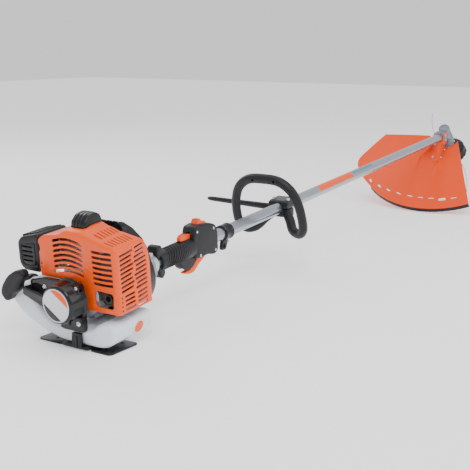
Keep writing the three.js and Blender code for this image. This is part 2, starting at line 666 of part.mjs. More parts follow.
const capCentre = [104, -14]; // X and Z of the filler neck on the left end
function fuelTank() {
  const shell = alongX(tankOutline(0), tankRear, tankFront);
  const room = alongX(tankOutline(tankWall), tankRear + tankWall, tankFront - tankWall);
  const neck = rodY(15, 140, 161, ...capCentre, 20);
  const notch = (margin) => alongX(starterPlate(margin), tankRear - 5, starterFront + margin);
  const outside = cut(join(shell, neck), notch(1));
  return cut(outside, cut(room, notch(1 + tankWall)), rodY(12, 135, 165, ...capCentre, 20));
}

function fuelCap() {
  const [x, z] = capCentre;
  const disc = rodY(20, 161 + gap, 172, x, z, 24);
  const plug = rodY(12 - slide, 152, 162, x, z, 24);
  const bar = box(x - 18, x + 18, 171, 176, z - 3, z + 3);
  return join(disc, plug, bar);
}

// The stand lies in the ground frame: two flat feet, a raised bridge between them, and an upright that
// climbs behind the tank to the underside of the starter.
const uprightX = 38;
const bridgeTop = footThickness + 3.4;
const uprightTop = axisHeight + uprightX * Math.sin(tilt) - starterBottom * Math.cos(tilt) - 1;
function engineStand() {
  const rear = 43;
  const front = 124;
  const feet = [[26, 93], [-87, -36]].map(([y0, y1]) => box(rear, front, y0, y1, 0, footThickness));
  const bridge = box(uprightX, front - 6, -38, 28, footThickness - 0.5, bridgeTop);
  const upright = box(uprightX, uprightX + 5, -24, 2, footThickness, uprightTop);
  return join(...feet, bridge, upright);
}

add(tool, 'fuel_tank', fuelTank(), milky);
add(tool, 'fuel_cap', fuelCap(), black);
add(brushCutter, 'engine_stand', engineStand(), black);

// ---- shaft --------------------------------------------------------------------------------------------

const driveEnd = headStation - 32.5;
add(tool, 'shaft_tube', ringX(tubeRadius, tubeRadius - tubeWall, tubeStart, tubeEnd, 32), tubeGrey);
add(tool, 'drive_shaft', rodX(driveShaftRadius, tubeStart + 3, driveEnd, 0, 0, 16), steel);
const bushingX = (tubeStart + tubeEnd) / 2;
const bushing = ringX(tubeRadius - tubeWall - gap, driveShaftRadius + slide, bushingX - 15, bushingX + 15, 16);
add(tool, 'shaft_bushing', bushing, brass);

// ---- control handle -----------------------------------------------------------------------------------

const triggerPivot = [446, -20];
const lockoutPivot = [419, 21.5];
const switchX0 = 422;
const switchX1 = 456;
const switchTravel = 8;
const blade = 6; // half width of the trigger

function controlHandle() {
  const flange = acrossY(rounded([[gripStart, 36], [gripStart + 16, 36], [gripStart + 24, -27],
    [gripStart + 14, -36], [gripStart + 6, -30], [gripStart - 2, 20]], 5, 2), -13, 13);
  const barrel = turnedX([[gripStart + 10, 0], [gripStart + 10, 21], [gripStart + 40, 20], [396, 23], [396, 0]],
    28);
  const housing = acrossY(rounded([[398, 24], [405, 45], [424, 47], [466, 40], [480, 33], [handleEnd, 16],
    [handleEnd, -24], [476, -32], [462, -30], [450, -26], [412, -26], [398, -22]], 6, 2), -17.5, 17.5);
  const hump = acrossY(rounded([[354, -14], [361, -34], [374, -42], [394, -43], [406, -37], [407, -16]], 5, 2),
    -10, 10);
  const bore = rodX(tubeRadius + gap, gripStart - 20, handleEnd + 10, 0, 0, 24);
  const triggerSlot = acrossY([[362, -60], [366, -24], [388, -17], [457, -15.5], [459, -60]],
    -blade - slide, blade + slide);
  const lockSlot = box(361, 427, -5 - slide, 5 + slide, 15.4, 34);
  const switchSlot = box(switchX0 - slide, switchX1 + switchTravel + slide, -9 - slide, 9 + slide, 35, 60);
  const pinHole = rodY(2, -30, 30, ...triggerPivot, 10);
  return cut(join(flange, barrel, housing, hump), bore, triggerSlot, lockSlot, switchSlot, pinHole);
}

function throttleTrigger() {
  const outline = rounded([[450, -16.5], [455, -24], [448, -33], [426, -43], [408, -55], [392, -56], [374, -51],
    [372, -47], [394, -46], [408, -40], [418, -29], [436, -18]], 4, 2);
  return cut(acrossY(outline, -blade, blade), rodY(2.2, -30, 30, ...triggerPivot, 10));
}

function throttleLockout() {
  const outline = rounded([[365, 22], [366, 31], [375, 35], [397, 31], [410, 29], [424, 28], [425, 19.5],
    [410, 18.5]], 2.5, 2);
  return acrossY(outline, -5, 5);
}

function stopSwitch() {
  const outline = rounded([[switchX0, 36], [switchX0 + 1, 50], [switchX0 + 6, 56], [switchX0 + 14, 55],
    [switchX0 + 18, 48], [switchX1 - 12, 49], [switchX1 - 4, 48], [switchX1, 42], [switchX1, 36]], 3, 2);
  return acrossY(outline, -9, 9);
}

// The cable runs from the handle's rear along the left of the clutch housing to the carburettor.
const cableRoute = [[gripStart - 4.5, 12, 25], [264, 22, 32], [244, 44, 46], [216, 64, 58], [180, 74, 64],
  [146, 76, 66], [128, 73, 69], [boreX + 19, 72, 69]];

add(tool, 'control_handle', controlHandle(), grip);
add(tool, 'throttle_trigger', throttleTrigger(), orange);
add(tool, 'throttle_lockout', throttleLockout(), orange);
add(tool, 'stop_switch', stopSwitch(), orange);
add(tool, 'throttle_cable', swept(cableRoute, circle(2.8, 0, 0, 8), 24), rubber);

// ---- harness clamp, loop handle and barrier bar -------------------------------------------------------

function harnessClamp() {
  const band = ringX(tubeRadius + 4.5, tubeRadius + gap, harnessStart, harnessStart + harnessWidth, 28);
  const lug = acrossY(rounded([[harnessStart + 2, -15], [harnessStart - 4, -38], [harnessStart + 14, -40],
    [harnessStart + harnessWidth - 4, -15]], 5, 3), -4, 4);
  const eye = rodY(5.5, -10, 10, harnessStart + 6, -29, 16);
  return cut(join(band, cut(lug, rodX(tubeRadius + gap, harnessStart - 20, harnessStart + 60, 0, 0, 22))), eye);
}

const clampX0 = loopStation - 17;
const clampX1 = loopStation + 41;
const clampHalf = 27;
const boltY = 20;
const boltRadius = 2.6;
const boltSeat = 15;

function loopHandle() {
  const half = loopWidth - 11;
  const x = loopStation;
  const side = (s) => [[x - 6, s * 20, -12], [x - 19, s * 36, -27], [x - 34, s * 52, -45],
    [x - 43, s * (half - 18), -50], [x - 51, s * (half - 3), -36], [x - 59, s * half, -8],
    [x - 67, s * (half - 5), 30], [x - 73, s * (half - 20), loopHeight - 36]];
  const crown = (s) => [x - 77, s * (half - 50), loopHeight - 15];
  const points = [...side(1), crown(1), [x - 78, 0, loopHeight - 11], crown(-1), ...side(-1).reverse()];
  const arch = swept(points, oval(23, 23, 8), 40);
  const saddle = box(x - 15, x + 15, -clampHalf, clampHalf, -22, -gap);
  const holes = [1, -1].map((s) => rodZ(boltRadius + gap, -30, 5, x, s * boltY, 10));
  return cut(join(arch, saddle), rodX(tubeRadius + gap, clampX0 - 100, clampX1 + 100, 0, 0, 24),
    box(x - 16, x + 16, -clampHalf - 1, clampHalf + 1, 0 - gap, 24), ...holes);
}

const barX = clampX1 - 13;
const barRoot = [barX, tubeRadius + 5, -10.5];
const barTip = [barX, barReach, -6];
function loopClamp() {
  const block = acrossY(rounded([[clampX0, gap], [clampX0, 14], [clampX0 + 6, 19], [clampX1 - 8, 21],
    [clampX1, 15], [clampX1, gap]], 5, 2), -clampHalf, clampHalf);
  const barSocket = rod(barRadius + gap, barRoot, [barX, barReach, barRoot[2]], 20);
  const boss = rod(barRadius + 3, [barX, barRoot[1] - 3, barRoot[2]], [barX, clampHalf + 9, barRoot[2]], 20);
  const shoulder = box(barX - 11, clampX1, barRoot[1] - 3, clampHalf + 6, barRoot[2], 14);
  const holes = [1, -1].map((s) => rodZ(boltRadius + gap, -5, 60, loopStation, s * boltY, 10));
  const headRoom = [1, -1].map((s) => rodZ(6, boltSeat, 60, loopStation, s * boltY, 14));
  const tubeWay = rodX(tubeRadius + gap, clampX0 - 100, clampX1 + 100, 0, 0, 24);
  return cut(join(block, boss, shoulder), tubeWay, barSocket, ...holes, ...headRoom);
}

function loopBolt(side) {
  const shank = rodZ(boltRadius, -20, boltSeat + 1, loopStation, side * boltY, 10);
  return join(shank, rodZ(4.6, boltSeat + gap, boltSeat + 9, loopStation, side * boltY, 14));
}

function barrierBar() {
  const start = new THREE.Vector3(...barRoot);
  const tip = new THREE.Vector3(...barTip);
  const length = start.distanceTo(tip);
  const socketDepth = clampHalf + 12 - barRoot[1];
  const profile = [[1, 0], [1, barRadius - 1], [socketDepth, barRadius - 1], [socketDepth + 4, barRadius],
    [length - 10, barRadius * 0.72], [length - 3, barRadius * 0.55], [length, barRadius * 0.25], [length, 0]];
  const geometry = turned(profile, 20);
  const direction = tip.clone().sub(start).normalize();
  const turn = new THREE.Quaternion().setFromUnitVectors(new THREE.Vector3(0, 1, 0), direction);
  return solid(geometry.applyQuaternion(turn).translate(start.x, start.y, start.z));
}

add(tool, 'harness_clamp', harnessClamp(), black);
add(tool, 'loop_handle', loopHandle(), grip);
add(tool, 'loop_clamp', loopClamp(), black);
add(tool, 'loop_bolt_1', loopBolt(1), steel);
add(tool, 'loop_bolt_2', loopBolt(-1), steel);
add(tool, 'barrier_bar', barrierBar(), black);

// ---- gear head ----------------------------------------------------------------------------------------

// The gears' axes meet at the head's centre; the driven gear sits above it, under the top cap.
const pinionTeeth = 15;
const drivenTeeth = 20;
const pinionCone = Math.atan(Math.sin(headAngle) / (drivenTeeth / pinionTeeth + Math.cos(headAngle)));
const drivenCone = headAngle - pinionCone;
const coneDistance = 21;
const capTop = 36.6;
const caseBottom = -40;

// A point of the head frame, given forward and up, as X and Z of the tool frame.
const fromHead = (x, z) => [
  headStation + x * Math.sin(headAngle) - z * Math.cos(headAngle),
  x * Math.cos(headAngle) + z * Math.sin(headAngle),
];

// A toothed cone on the X axis with its apex at the origin and its body on the minus side.
function bevelGear(cone, teeth, boreRadiusHere, hub) {
  const outerX = -coneDistance * Math.cos(cone);
  const innerX = outerX * 0.6;
  const tip = coneDistance * Math.sin(cone) - slide;
  const blank = turnedX([[outerX - hub, 0], [outerX - hub, tip * 0.7], [outerX, tip - 1.8],
    [innerX, (tip - 1.8) * 0.6], [innerX, 0]], 20);
  const bodies = [blank];
  for (let i = 0; i < teeth; i += 1) {
    const wedge = acrossY([[outerX - 0.5, 1], [outerX, tip], [innerX, tip * 0.6], [innerX, 1]], -0.7, 0.7);
    bodies.push(wedge.rotate([(360 * i) / teeth, 0, 0]));
  }
  return cut(join(...bodies), rodX(boreRadiusHere, outerX - hub - 1, 1, 0, 0, 16));
}

// The gear case is drawn in the head frame, where the tube comes in at an angle.
function inHead(body) {
  return body.rotate([0, THREE.MathUtils.radToDeg(Math.PI / 2 - headAngle), 0]);
}

function gearCase() {
  const tube = (radius, x0, x1, sides = 20) => inHead(rodX(radius, x0, x1, 0, 0, sides));
  const barrel = turnedZ([[caseBottom, 0], [caseBottom, 24], [-20, 25], [4, 21], [capTop - 10, 18.5],
    [capTop - 4, 18], [capTop, 15], [capTop, 0]], 20);
  const neck = join(tube(20.5, -58, -4), tube(22.5, -58, -48));
  const shaftWay = join(tube(tubeRadius + gap, -60, tubeEnd - headStation + gap, 24), tube(11, -35, -8));
  const gearRoom = turnedZ([[caseBottom - 1, 0], [caseBottom - 1, 14], [-6, 14], [2, 15.3], [capTop - 5, 15.3],
    [capTop - 5, 0]], 20);
  const lug = box(-4, 10, 17, 27, -14, 2);
  return cut(join(barrel, neck, lug), shaftWay, gearRoom);
}

const bearingLow = -36;
const bearingHigh = -24;
function outputShaft() {
  const lower = rodZ(outputRadius, -84.5, -8, 0, 0, 20);
  const upper = rodZ(3.6, -9, capTop - 8, 0, 0, 16);
  const washer = rodZ(17, -48, caseBottom - 1.5, 0, 0, 24);
  return join(lower, upper, washer);
}

function pinion() {
  const gear = bevelGear(pinionCone, pinionTeeth, 0.5, 4);
  const outerX = -coneDistance * Math.cos(pinionCone);
  const stem = rodX(driveShaftRadius, driveEnd - headStation + gap, outerX - 2, 0, 0, 16);
  return join(gear, stem);
}

const drivenGear = () => bevelGear(drivenCone, drivenTeeth, 3.6 + gap, 4)
  .rotate([0, 90, 0]);

add(head, 'gear_case', gearCase(), castGrey);
add(tool, 'pinion_gear', pinion().translate(headStation, 0, 0), steel);
add(head, 'driven_gear', drivenGear(), steel);
add(head, 'output_bearing', ringZ(14 - gap, outputRadius + gap, bearingLow, bearingHigh, 24), steel);
add(head, 'output_shaft', outputShaft(), steel);

// ---- guard --------------------------------------------------------------------------------------------

// Angles about the output axis, from straight behind, positive to the right.
const guardCorner = [-11, -230]; // rearward and rightward place of the front left corner
const cornerAngle = Math.atan2(guardCorner[1], guardCorner[0]);
const fallStart = THREE.MathUtils.degToRad(-62); // left of here the guard rises towards its corner
const guardRightInner = [11, 46]; // rearward and rightward place where the right edge starts
const flatReach = 112;
const cutterAngle = 14.5; // degrees to the right of straight behind

// Depth of the guard's upper face below the head's centre at a place in the cutting plane.
function guardDepth(rearward, rightward) {
  const radius = Math.hypot(rearward, rightward);
  const angle = Math.atan2(rightward, rearward);
  const side = 1 - 0.84 * THREE.MathUtils.clamp((fallStart - angle) / (fallStart - cornerAngle), 0, 1);
  const reach = Math.max(0, (radius - flatReach) / (guardRadius - flatReach));
  return padDepth + (skirtDepth - skirtHeight - padDepth - guardWall) * side * reach ** 1.3;
}

// The outer edge runs round the skirt's arc, out to the left lobe and straight to the front left corner.
function guardRim() {
  const points = [];
  for (let i = 0; i <= 8; i += 1) {
    const angle = THREE.MathUtils.lerp(skirtRight, skirtLeft, i / 8);
    points.push([guardRadius * Math.cos(angle), guardRadius * Math.sin(angle)]);
  }
  const lobe = guardRadius / 303;
  points.push([180 * lobe, -252 * lobe], [140 * lobe, -285 * lobe], [118 * lobe, -298 * lobe],
    [92 * lobe, -298 * lobe], [45, -267], guardCorner);
  return new THREE.CatmullRomCurve3(points.map(([u, v]) => new THREE.Vector3(u, v, 0)), false, 'centripetal');
}

function guardNeck() {
  return new THREE.CatmullRomCurve3([
    new THREE.Vector3(...guardRightInner, 0), new THREE.Vector3(30, 30, 0), new THREE.Vector3(36, -6, 0),
    new THREE.Vector3(24, -36, 0), new THREE.Vector3(-2, -57, 0)]);
}

function guard() {
  const across = 22;
  const out = 7;
  const neck = guardNeck();
  const rim = guardRim();
  const top = [];
  const bottom = [];
  for (let i = 0; i <= across; i += 1) {
    const inner = neck.getPointAt(i / across);
    const outer = rim.getPointAt(i / across);
    const rowTop = [];
    const rowBottom = [];
    for (let j = 0; j <= out; j += 1) {
      const u = THREE.MathUtils.lerp(inner.x, outer.x, j / out);
      const v = THREE.MathUtils.lerp(inner.y, outer.y, j / out);
      const depth = guardDepth(u, v);
      rowTop.push([-u, -v, -depth]);
      rowBottom.push([-u, -v, -depth - guardWall]);
    }
    top.push(rowTop);
    bottom.push(rowBottom);
  }
  const slotReach = (degrees) => guardRadius - 44 + 30 * (degrees / 48) ** 2;
  const opening = (degrees, depth, half) => {
    const r = slotReach(degrees);
    return box(-r - depth, -r, -half, half, -90, 0).rotate([0, 0, degrees]);
  };
  const slots = [-48, -38, -29, -19.5, -10, -1.5, 6.5, 22.5].map((degrees) => opening(degrees, 5, 10));
  const cutterWindow = opening(cutterAngle, 12, 12);
  return cut(sheetBetween(top, bottom), cutterWindow, ...slots);
}

// The skirt is a strip bent along the guard's rim.
function guardSkirt() {
  const steps = 20;
  const z1 = -skirtDepth + skirtHeight;
  const outline = [];
  for (let i = 0; i <= steps; i += 1) {
    const angle = THREE.MathUtils.lerp(skirtRight, skirtLeft, i / steps);
    outline.push([-guardRadius * Math.cos(angle), -guardRadius * Math.sin(angle)]);
  }
  for (let i = steps; i >= 0; i -= 1) {
    const angle = THREE.MathUtils.lerp(skirtRight, skirtLeft, i / steps);
    const inner = guardRadius - 3;
    outline.push([-inner * Math.cos(angle), -inner * Math.sin(angle)]);
  }
  return upZ(outline, -skirtDepth, z1 - gap);
}

function lineCutter() {
  const r = guardRadius - 3 - gap;
  const plate = box(-r + 1, -r + 16, -16, 16, -skirtDepth + 9, -skirtDepth + 11);
  const turnedUp = box(-r + 1, -r + 2.6, -16, 16, -skirtDepth + 3, -skirtDepth + 11);
  return join(plate, turnedUp).rotate([0, 0, cutterAngle]);
}

// The bracket grips the tube's end and stands on the guard's flat pad.
function guardBracket() {
  const x1 = headStation - 58 - gap;
  const padFront = fromHead(-50, -padDepth + gap);
  const padRear = fromHead(-108, -padDepth + gap);
  const outline = [[x1 - 26, 17], [x1, 17], [x1, -26], padFront, padRear, [x1 - 34, -26]];
  const block = acrossY(outline, -18, 18);
  const waist = acrossY([[x1 - 60, -22], [x1 + 20, -22], [x1 + 20, -90], [x1 - 60, -90]], 12, 30);
  return cut(block, rodX(tubeRadius + gap, x1 - 80, x1 + 10, 0, 0, 24), waist, waist.mirror([0, 1, 0]));
}

add(tool, 'guard_bracket', guardBracket(), guardOrange);
add(head, 'guard', guard(), guardOrange);
add(head, 'guard_skirt', guardSkirt(), black);
add(head, 'line_cutter', lineCutter(), steel);

// ---- trimmer head -------------------------------------------------------------------------------------

const lineDepth = -70;
const bumpTravel = 5;

function trimmerHead() {
  const outside = turnedZ([[-92, 0], [-92, headRadius - 10], [-86, headRadius + 2], [-79, headRadius + 4],
    [-77, headRadius], [-56, headRadius - 2], [-53, headRadius - 8], [-48.5 - gap, 16], [-48.5 - gap, 0]],
  36);
  const room = rodZ(44, -89, -58, 0, 0, 24);
  const shaftWay = rodZ(outputRadius + gap, -60, -40, 0, 0, 20);
  const eyelets = rod(lineRadius + 0.8, [-70, 0, lineDepth], [70, 0, lineDepth], 10);
  const bumpHole = rodZ(24, -95, -85, 0, 0, 22);
  return cut(outside, room, shaftWay, eyelets, bumpHole);
}

function lineSpool() {
  const reel = turnedZ([[-84, 0], [-84, 42], [-81.5, 42], [-81.5, 20], [-62, 20], [-62, 42], [-59, 42],
    [-59, 0]], 22);
  return cut(reel, rodZ(outputRadius + gap, -90, -50, 0, 0, 20));
}

function trimmerLine() {
  const winding = ringZ(34, 20 + gap, -80, -63.5, 28);
  const ends = rod(lineRadius, [-lineReach, 0, lineDepth], [-30, 0, lineDepth], 8);
  return join(winding, ends, rod(lineRadius, [30, 0, lineDepth], [lineReach, 0, lineDepth], 8));
}

const bumpKnob = () => turnedZ([[-102, 0], [-102, 14], [-97, 22.5], [-88 - bumpTravel + 3, 23.3],
  [-88 - bumpTravel + 3, 0]], 28);

const lineAngle = -146; // the line's free ends point forward-left and rearward-right
add(head, 'trimmer_head', trimmerHead().rotate([0, 0, lineAngle]), black);
add(head, 'line_spool', lineSpool(), black);
add(head, 'trimmer_line', trimmerLine().rotate([0, 0, lineAngle]), nylon);
add(head, 'bump_knob', bumpKnob(), black);

// ---- origin -------------------------------------------------------------------------------------------

const bounds = new THREE.Box3().setFromObject(brushCutter);
const centre = bounds.getCenter(new THREE.Vector3());
brushCutter.position.set(-centre.x, -centre.y, -bounds.min.z);

export default brushCutter;
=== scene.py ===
"""The looks of a petrol brush cutter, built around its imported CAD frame. Metres, +Z up.

Shapes are drawn in millimetres in one of two frames that are read off the joints. TOOL has X along the shaft
from the starter, Y to the left and Z up. HEAD has Z along the output axis, X forward and Y to the left.
"""

import json
import math

import bmesh
import bpy
from mathutils import Matrix, Vector


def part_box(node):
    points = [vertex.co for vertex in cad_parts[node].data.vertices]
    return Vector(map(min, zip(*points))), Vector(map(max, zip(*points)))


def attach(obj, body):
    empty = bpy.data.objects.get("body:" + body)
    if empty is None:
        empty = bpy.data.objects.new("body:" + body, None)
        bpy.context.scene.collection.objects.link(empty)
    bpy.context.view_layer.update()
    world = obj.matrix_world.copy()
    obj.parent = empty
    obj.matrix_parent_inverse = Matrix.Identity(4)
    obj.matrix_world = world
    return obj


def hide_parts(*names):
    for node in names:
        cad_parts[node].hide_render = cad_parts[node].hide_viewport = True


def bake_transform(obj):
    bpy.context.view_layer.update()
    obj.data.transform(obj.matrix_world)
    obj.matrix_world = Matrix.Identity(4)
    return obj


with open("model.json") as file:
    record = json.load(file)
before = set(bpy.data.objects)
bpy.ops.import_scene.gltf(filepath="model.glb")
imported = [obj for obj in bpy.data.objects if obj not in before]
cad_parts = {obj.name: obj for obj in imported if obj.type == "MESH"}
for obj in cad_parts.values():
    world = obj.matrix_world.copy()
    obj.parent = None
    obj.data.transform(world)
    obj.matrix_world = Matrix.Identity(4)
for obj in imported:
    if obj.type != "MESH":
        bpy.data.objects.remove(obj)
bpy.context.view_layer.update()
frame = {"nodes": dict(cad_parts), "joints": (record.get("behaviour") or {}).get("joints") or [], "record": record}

MM = 0.001


# ---- frames -------------------------------------------------------------------------------------------

def joint(name):
    return next(j for j in frame["joints"] if j["name"] == name)


def space(origin, x_axis, z_axis):
    """The matrix from millimetres in a frame to metres in the row."""
    x = Vector(x_axis).normalized()
    z = Vector(z_axis).normalized()
    y = z.cross(x)
    turn = Matrix((x, y, z)).transposed().to_4x4()
    return Matrix.Translation(origin) @ turn @ Matrix.Scale(MM, 4)


CRANK_STATION = 100.0  # where the crank joint's point lies along the shaft
shaft_axis = Vector(joint("crank_spin")["axis"])
tool_origin = Vector(joint("crank_spin")["pos_m"]) - shaft_axis * CRANK_STATION * MM
TOOL = space(tool_origin, shaft_axis, shaft_axis.cross(Vector((0, 1, 0))))

output_axis = Vector(joint("output_spin")["axis"])
head_origin = Vector(joint("output_spin")["pos_m"])
HEAD = space(head_origin, Vector((0, 1, 0)).cross(output_axis), output_axis)
GROUND = Matrix.Translation((tool_origin.x, tool_origin.y, 0)) @ Matrix.Scale(MM, 4)


def tool_box(node):
    """Lowest and highest corners of a CAD node, in millimetres in the tool frame."""
    back = TOOL.inverted()
    points = [back @ v.co for v in frame["nodes"][node].data.vertices]
    return (Vector([min(p[i] for p in points) for i in range(3)]),
            Vector([max(p[i] for p in points) for i in range(3)]))


# ---- outlines and solids ------------------------------------------------------------------------------

def rounded(points, radius, steps=5):
    """Rounds each corner of a closed outline with an arc that takes up to half of either side."""
    out = []
    count = len(points)
    for i, point in enumerate(points):
        here = Vector(point)
        one = here - Vector(points[i - 1])
        two = Vector(points[(i + 1) % count]) - here
        reach = min(radius, one.length * 0.48, two.length * 0.48)
        one.normalize()
        two.normalize()
        turn = math.atan2(one.x * two.y - one.y * two.x, one.dot(two))
        start = here - one * reach
        if abs(turn) < 0.05:
            out.extend(tuple(start.lerp(here + two * reach, k / steps)) for k in range(steps + 1))
            continue
        across = Vector((-one.y, one.x)) * (reach / math.tan(turn / 2))
        for k in range(steps + 1):
            spun = Matrix.Rotation(turn * k / steps, 2) @ -across
            out.append((start.x + across.x + spun.x, start.y + across.y + spun.y))
    return out


def inset(outline, margin):
    """Moves each side of a closed outline inwards by a margin."""
    count = len(outline)
    area = sum(outline[i - 1][0] * outline[i][1] - outline[i][0] * outline[i - 1][1] for i in range(count))
    turn = 1 if area > 0 else -1
    out = []
    for i, point in enumerate(outline):
        here = Vector(point)
        one = (here - Vector(outline[i - 1])).normalized()
        two = (Vector(outline[(i + 1) % count]) - here).normalized()
        normal = Vector((-one.y - two.y, one.x + two.x)) * turn
        if normal.length < 1e-6:
            out.append(tuple(here))
            continue
        normal.normalize()
        side = Vector((-one.y, one.x)) * turn
        out.append(tuple(here + normal * (margin / max(0.5, normal.dot(side)))))
    return out


def circle(radius, centre=(0, 0), steps=32, start=0.0):
    return [(centre[0] + radius * math.cos(start + math.tau * i / steps),
             centre[1] + radius * math.sin(start + math.tau * i / steps)) for i in range(steps)]


PLACE = {
    "X": lambda p, d: Vector((d, p[0], p[1])),
    "Y": lambda p, d: Vector((p[0], d, p[1])),
    "Z": lambda p, d: Vector((p[0], p[1], d)),
}


def solid(name, points, faces, where=None):
    """A mesh in millimetres, turned and moved by the matrix where if there is one."""
    mesh = bpy.data.meshes.new(name)
    mesh.from_pydata([where @ Vector(p) if where else Vector(p) for p in points], [], faces)
    obj = bpy.data.objects.new(name, mesh)
    bpy.context.scene.collection.objects.link(obj)
    tidy = bmesh.new()
    tidy.from_mesh(mesh)
    bmesh.ops.remove_doubles(tidy, verts=tidy.verts, dist=1e-4)
    bmesh.ops.recalc_face_normals(tidy, faces=tidy.faces)
    tidy.to_mesh(mesh)
    tidy.free()
    return obj


def loft(name, loops, where=None, ends=True, ring=False):
    """A skin over loops of equally many points, closed by flat ends, or joined round into a ring."""
    count = len(loops[0])
    points = [p for loop in loops for p in loop]
    faces = []
    rows = len(loops)
    for i in range(rows if ring else rows - 1):
        for j in range(count):
            a, b = i * count + j, i * count + (j + 1) % count
            c = ((i + 1) % rows) * count
            faces.append((a, b, c + (j + 1) % count, c + j))
    if ends and not ring:
        faces.append(tuple(range(count)))
        faces.append(tuple(range((rows - 1) * count, rows * count)))
    return solid(name, points, faces, where)


def prism(name, outline, axis, low, high, where=None):
    return loft(name, [[PLACE[axis](p, d) for p in outline] for d in (low, high)], where)


def pillow(name, outline, axis, low, high, edge, where=None, steps=5):
    """A prism whose two rims are rounded with a radius."""
    angles = [math.pi / 2 * k / steps for k in range(steps + 1)]
    near = [(low + edge * (1 - math.cos(a)), edge * (1 - math.sin(a))) for a in angles]
    far = [(low + high - d, m) for d, m in reversed(near)]
    return loft(name, [[PLACE[axis](p, d) for p in inset(outline, m)] for d, m in near + far], where)


def lathe(name, profile, axis="X", steps=56, centre=(0, 0), where=None, ring=False):
    """Turns a profile of (station, radius) points round an axis. Radius 0 closes an end."""
    points = []
    rows = []
    for station, radius in profile:
        if radius < 1e-6:
            rows.append([len(points)])
            points.append(PLACE[axis](centre, station))
            continue
        rows.append(list(range(len(points), len(points) + steps)))
        points.extend(PLACE[axis](p, station) for p in circle(radius, centre, steps))
    faces = []
    for i in range(len(rows) if ring else len(rows) - 1):
        one, two = rows[i], rows[(i + 1) % len(rows)]
        for j in range(steps):
            k = (j + 1) % steps
            if len(one) == 1 and len(two) == 1:
                break
            if len(one) == 1:
                faces.append((one[0], two[k], two[j]))
            elif len(two) == 1:
                faces.append((one[j], one[k], two[0]))
            else:
                faces.append((one[j], one[k], two[k], two[j]))
    return solid(name, points, faces, where)


def smooth_path(points, steps):
    """Points at even steps along a Catmull-Rom curve."""
    points = [Vector(p) for p in points]
    padded = [points[0] * 2 - points[1], *points, points[-1] * 2 - points[-2]]
    dense = []
    fine = 12
    for i in range(1, len(padded) - 2):
        a, b, c, d = padded[i - 1:i + 3]
        for k in range(fine):
            t = k / fine
            dense.append(0.5 * (2 * b + (c - a) * t + (2 * a - 5 * b + 4 * c - d) * t * t
                                + (3 * b - a - 3 * c + d) * t ** 3))
    dense.append(points[-1])
    lengths = [0.0]
    for one, two in zip(dense, dense[1:]):
        lengths.append(lengths[-1] + (two - one).length)
    out = []
    k = 0
    for i in range(steps + 1):
        goal = lengths[-1] * i / steps
        while k < len(lengths) - 2 and lengths[k + 1] < goal:
            k += 1
        share = (goal - lengths[k]) / max(1e-9, lengths[k + 1] - lengths[k])
        out.append(dense[k].lerp(dense[k + 1], min(1, max(0, share))))
    return out


def pipe(name, path, radius, sides=16, steps=24, where=None, up=(0, 0, 1), aspect=1.0, straight=False):
    """A round or oval bar along a path. radius is a number or a function of the share of the length."""
    line = [Vector(p) for p in path] if straight else smooth_path(path, steps)
    size = radius if callable(radius) else (lambda t: radius)
    loops = []
    for i, here in enumerate(line):
        along = (line[min(i + 1, len(line) - 1)] - line[max(i - 1, 0)]).normalized()
        side = along.cross(Vector(up)).normalized()
        lift = side.cross(along)
        r = size(i / (len(line) - 1))
        loops.append([here + side * p[0] + lift * p[1] * aspect for p in circle(r, steps=sides)])
    return loft(name, loops, where)


def settled(obj):
    """Applies an object's modifiers to its mesh."""
    graph = bpy.context.evaluated_depsgraph_get()
    mesh = bpy.data.meshes.new_from_object(obj.evaluated_get(graph))
    obj.modifiers.clear()
    obj.data = mesh
    return obj


def combined(obj, tools, operation, folded=False):
    """Joins or cuts with the tools, which are used up. folded is for outlines whose rounded rims cross."""
    for tool in tools:
        modifier = obj.modifiers.new(operation, "BOOLEAN")
        modifier.operation = operation
        modifier.solver = "EXACT"
        modifier.use_self = folded
        modifier.object = tool
        settled(obj)
        bpy.data.objects.remove(tool)
    return obj


def cut(obj, *tools, folded=False):
    return combined(obj, tools, "DIFFERENCE", folded)


def unite(obj, *tools):
    return combined(obj, tools, "UNION")


def gathered(name, pieces):
    """Several separate shells as one object, for cutting many holes at once or for one set of fasteners."""
    points = []
    faces = []
    for piece in pieces:
        start = len(points)
        points.extend(v.co.copy() for v in piece.data.vertices)
        faces.extend(tuple(start + v for v in f.vertices) for f in piece.data.polygons)
        bpy.data.objects.remove(piece)
    return solid(name, points, faces)


def finished(obj, body, material, bevel=0.5, segments=2, angle=32, replaces=(), frame_of=None):
    """Rounds the edges, smooths the shading, brings the piece into the row and hangs it on its body."""
    obj.data.materials.clear()
    obj.data.materials.append(material)
    obj.data.shade_smooth()
    if bevel:
        rim = obj.modifiers.new("edges", "BEVEL")
        rim.width = bevel
        rim.segments = segments
        rim.limit_method = "ANGLE"
        rim.angle_limit = math.radians(angle)
        settled(obj)
    obj.data.transform(frame_of or TOOL)
    obj.data.set_sharp_from_angle(angle=math.radians(angle + 6))
    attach(obj, body)
    if replaces:
        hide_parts(*replaces)
    return obj


# ---- materials ----------------------------------------------------------------------------------------

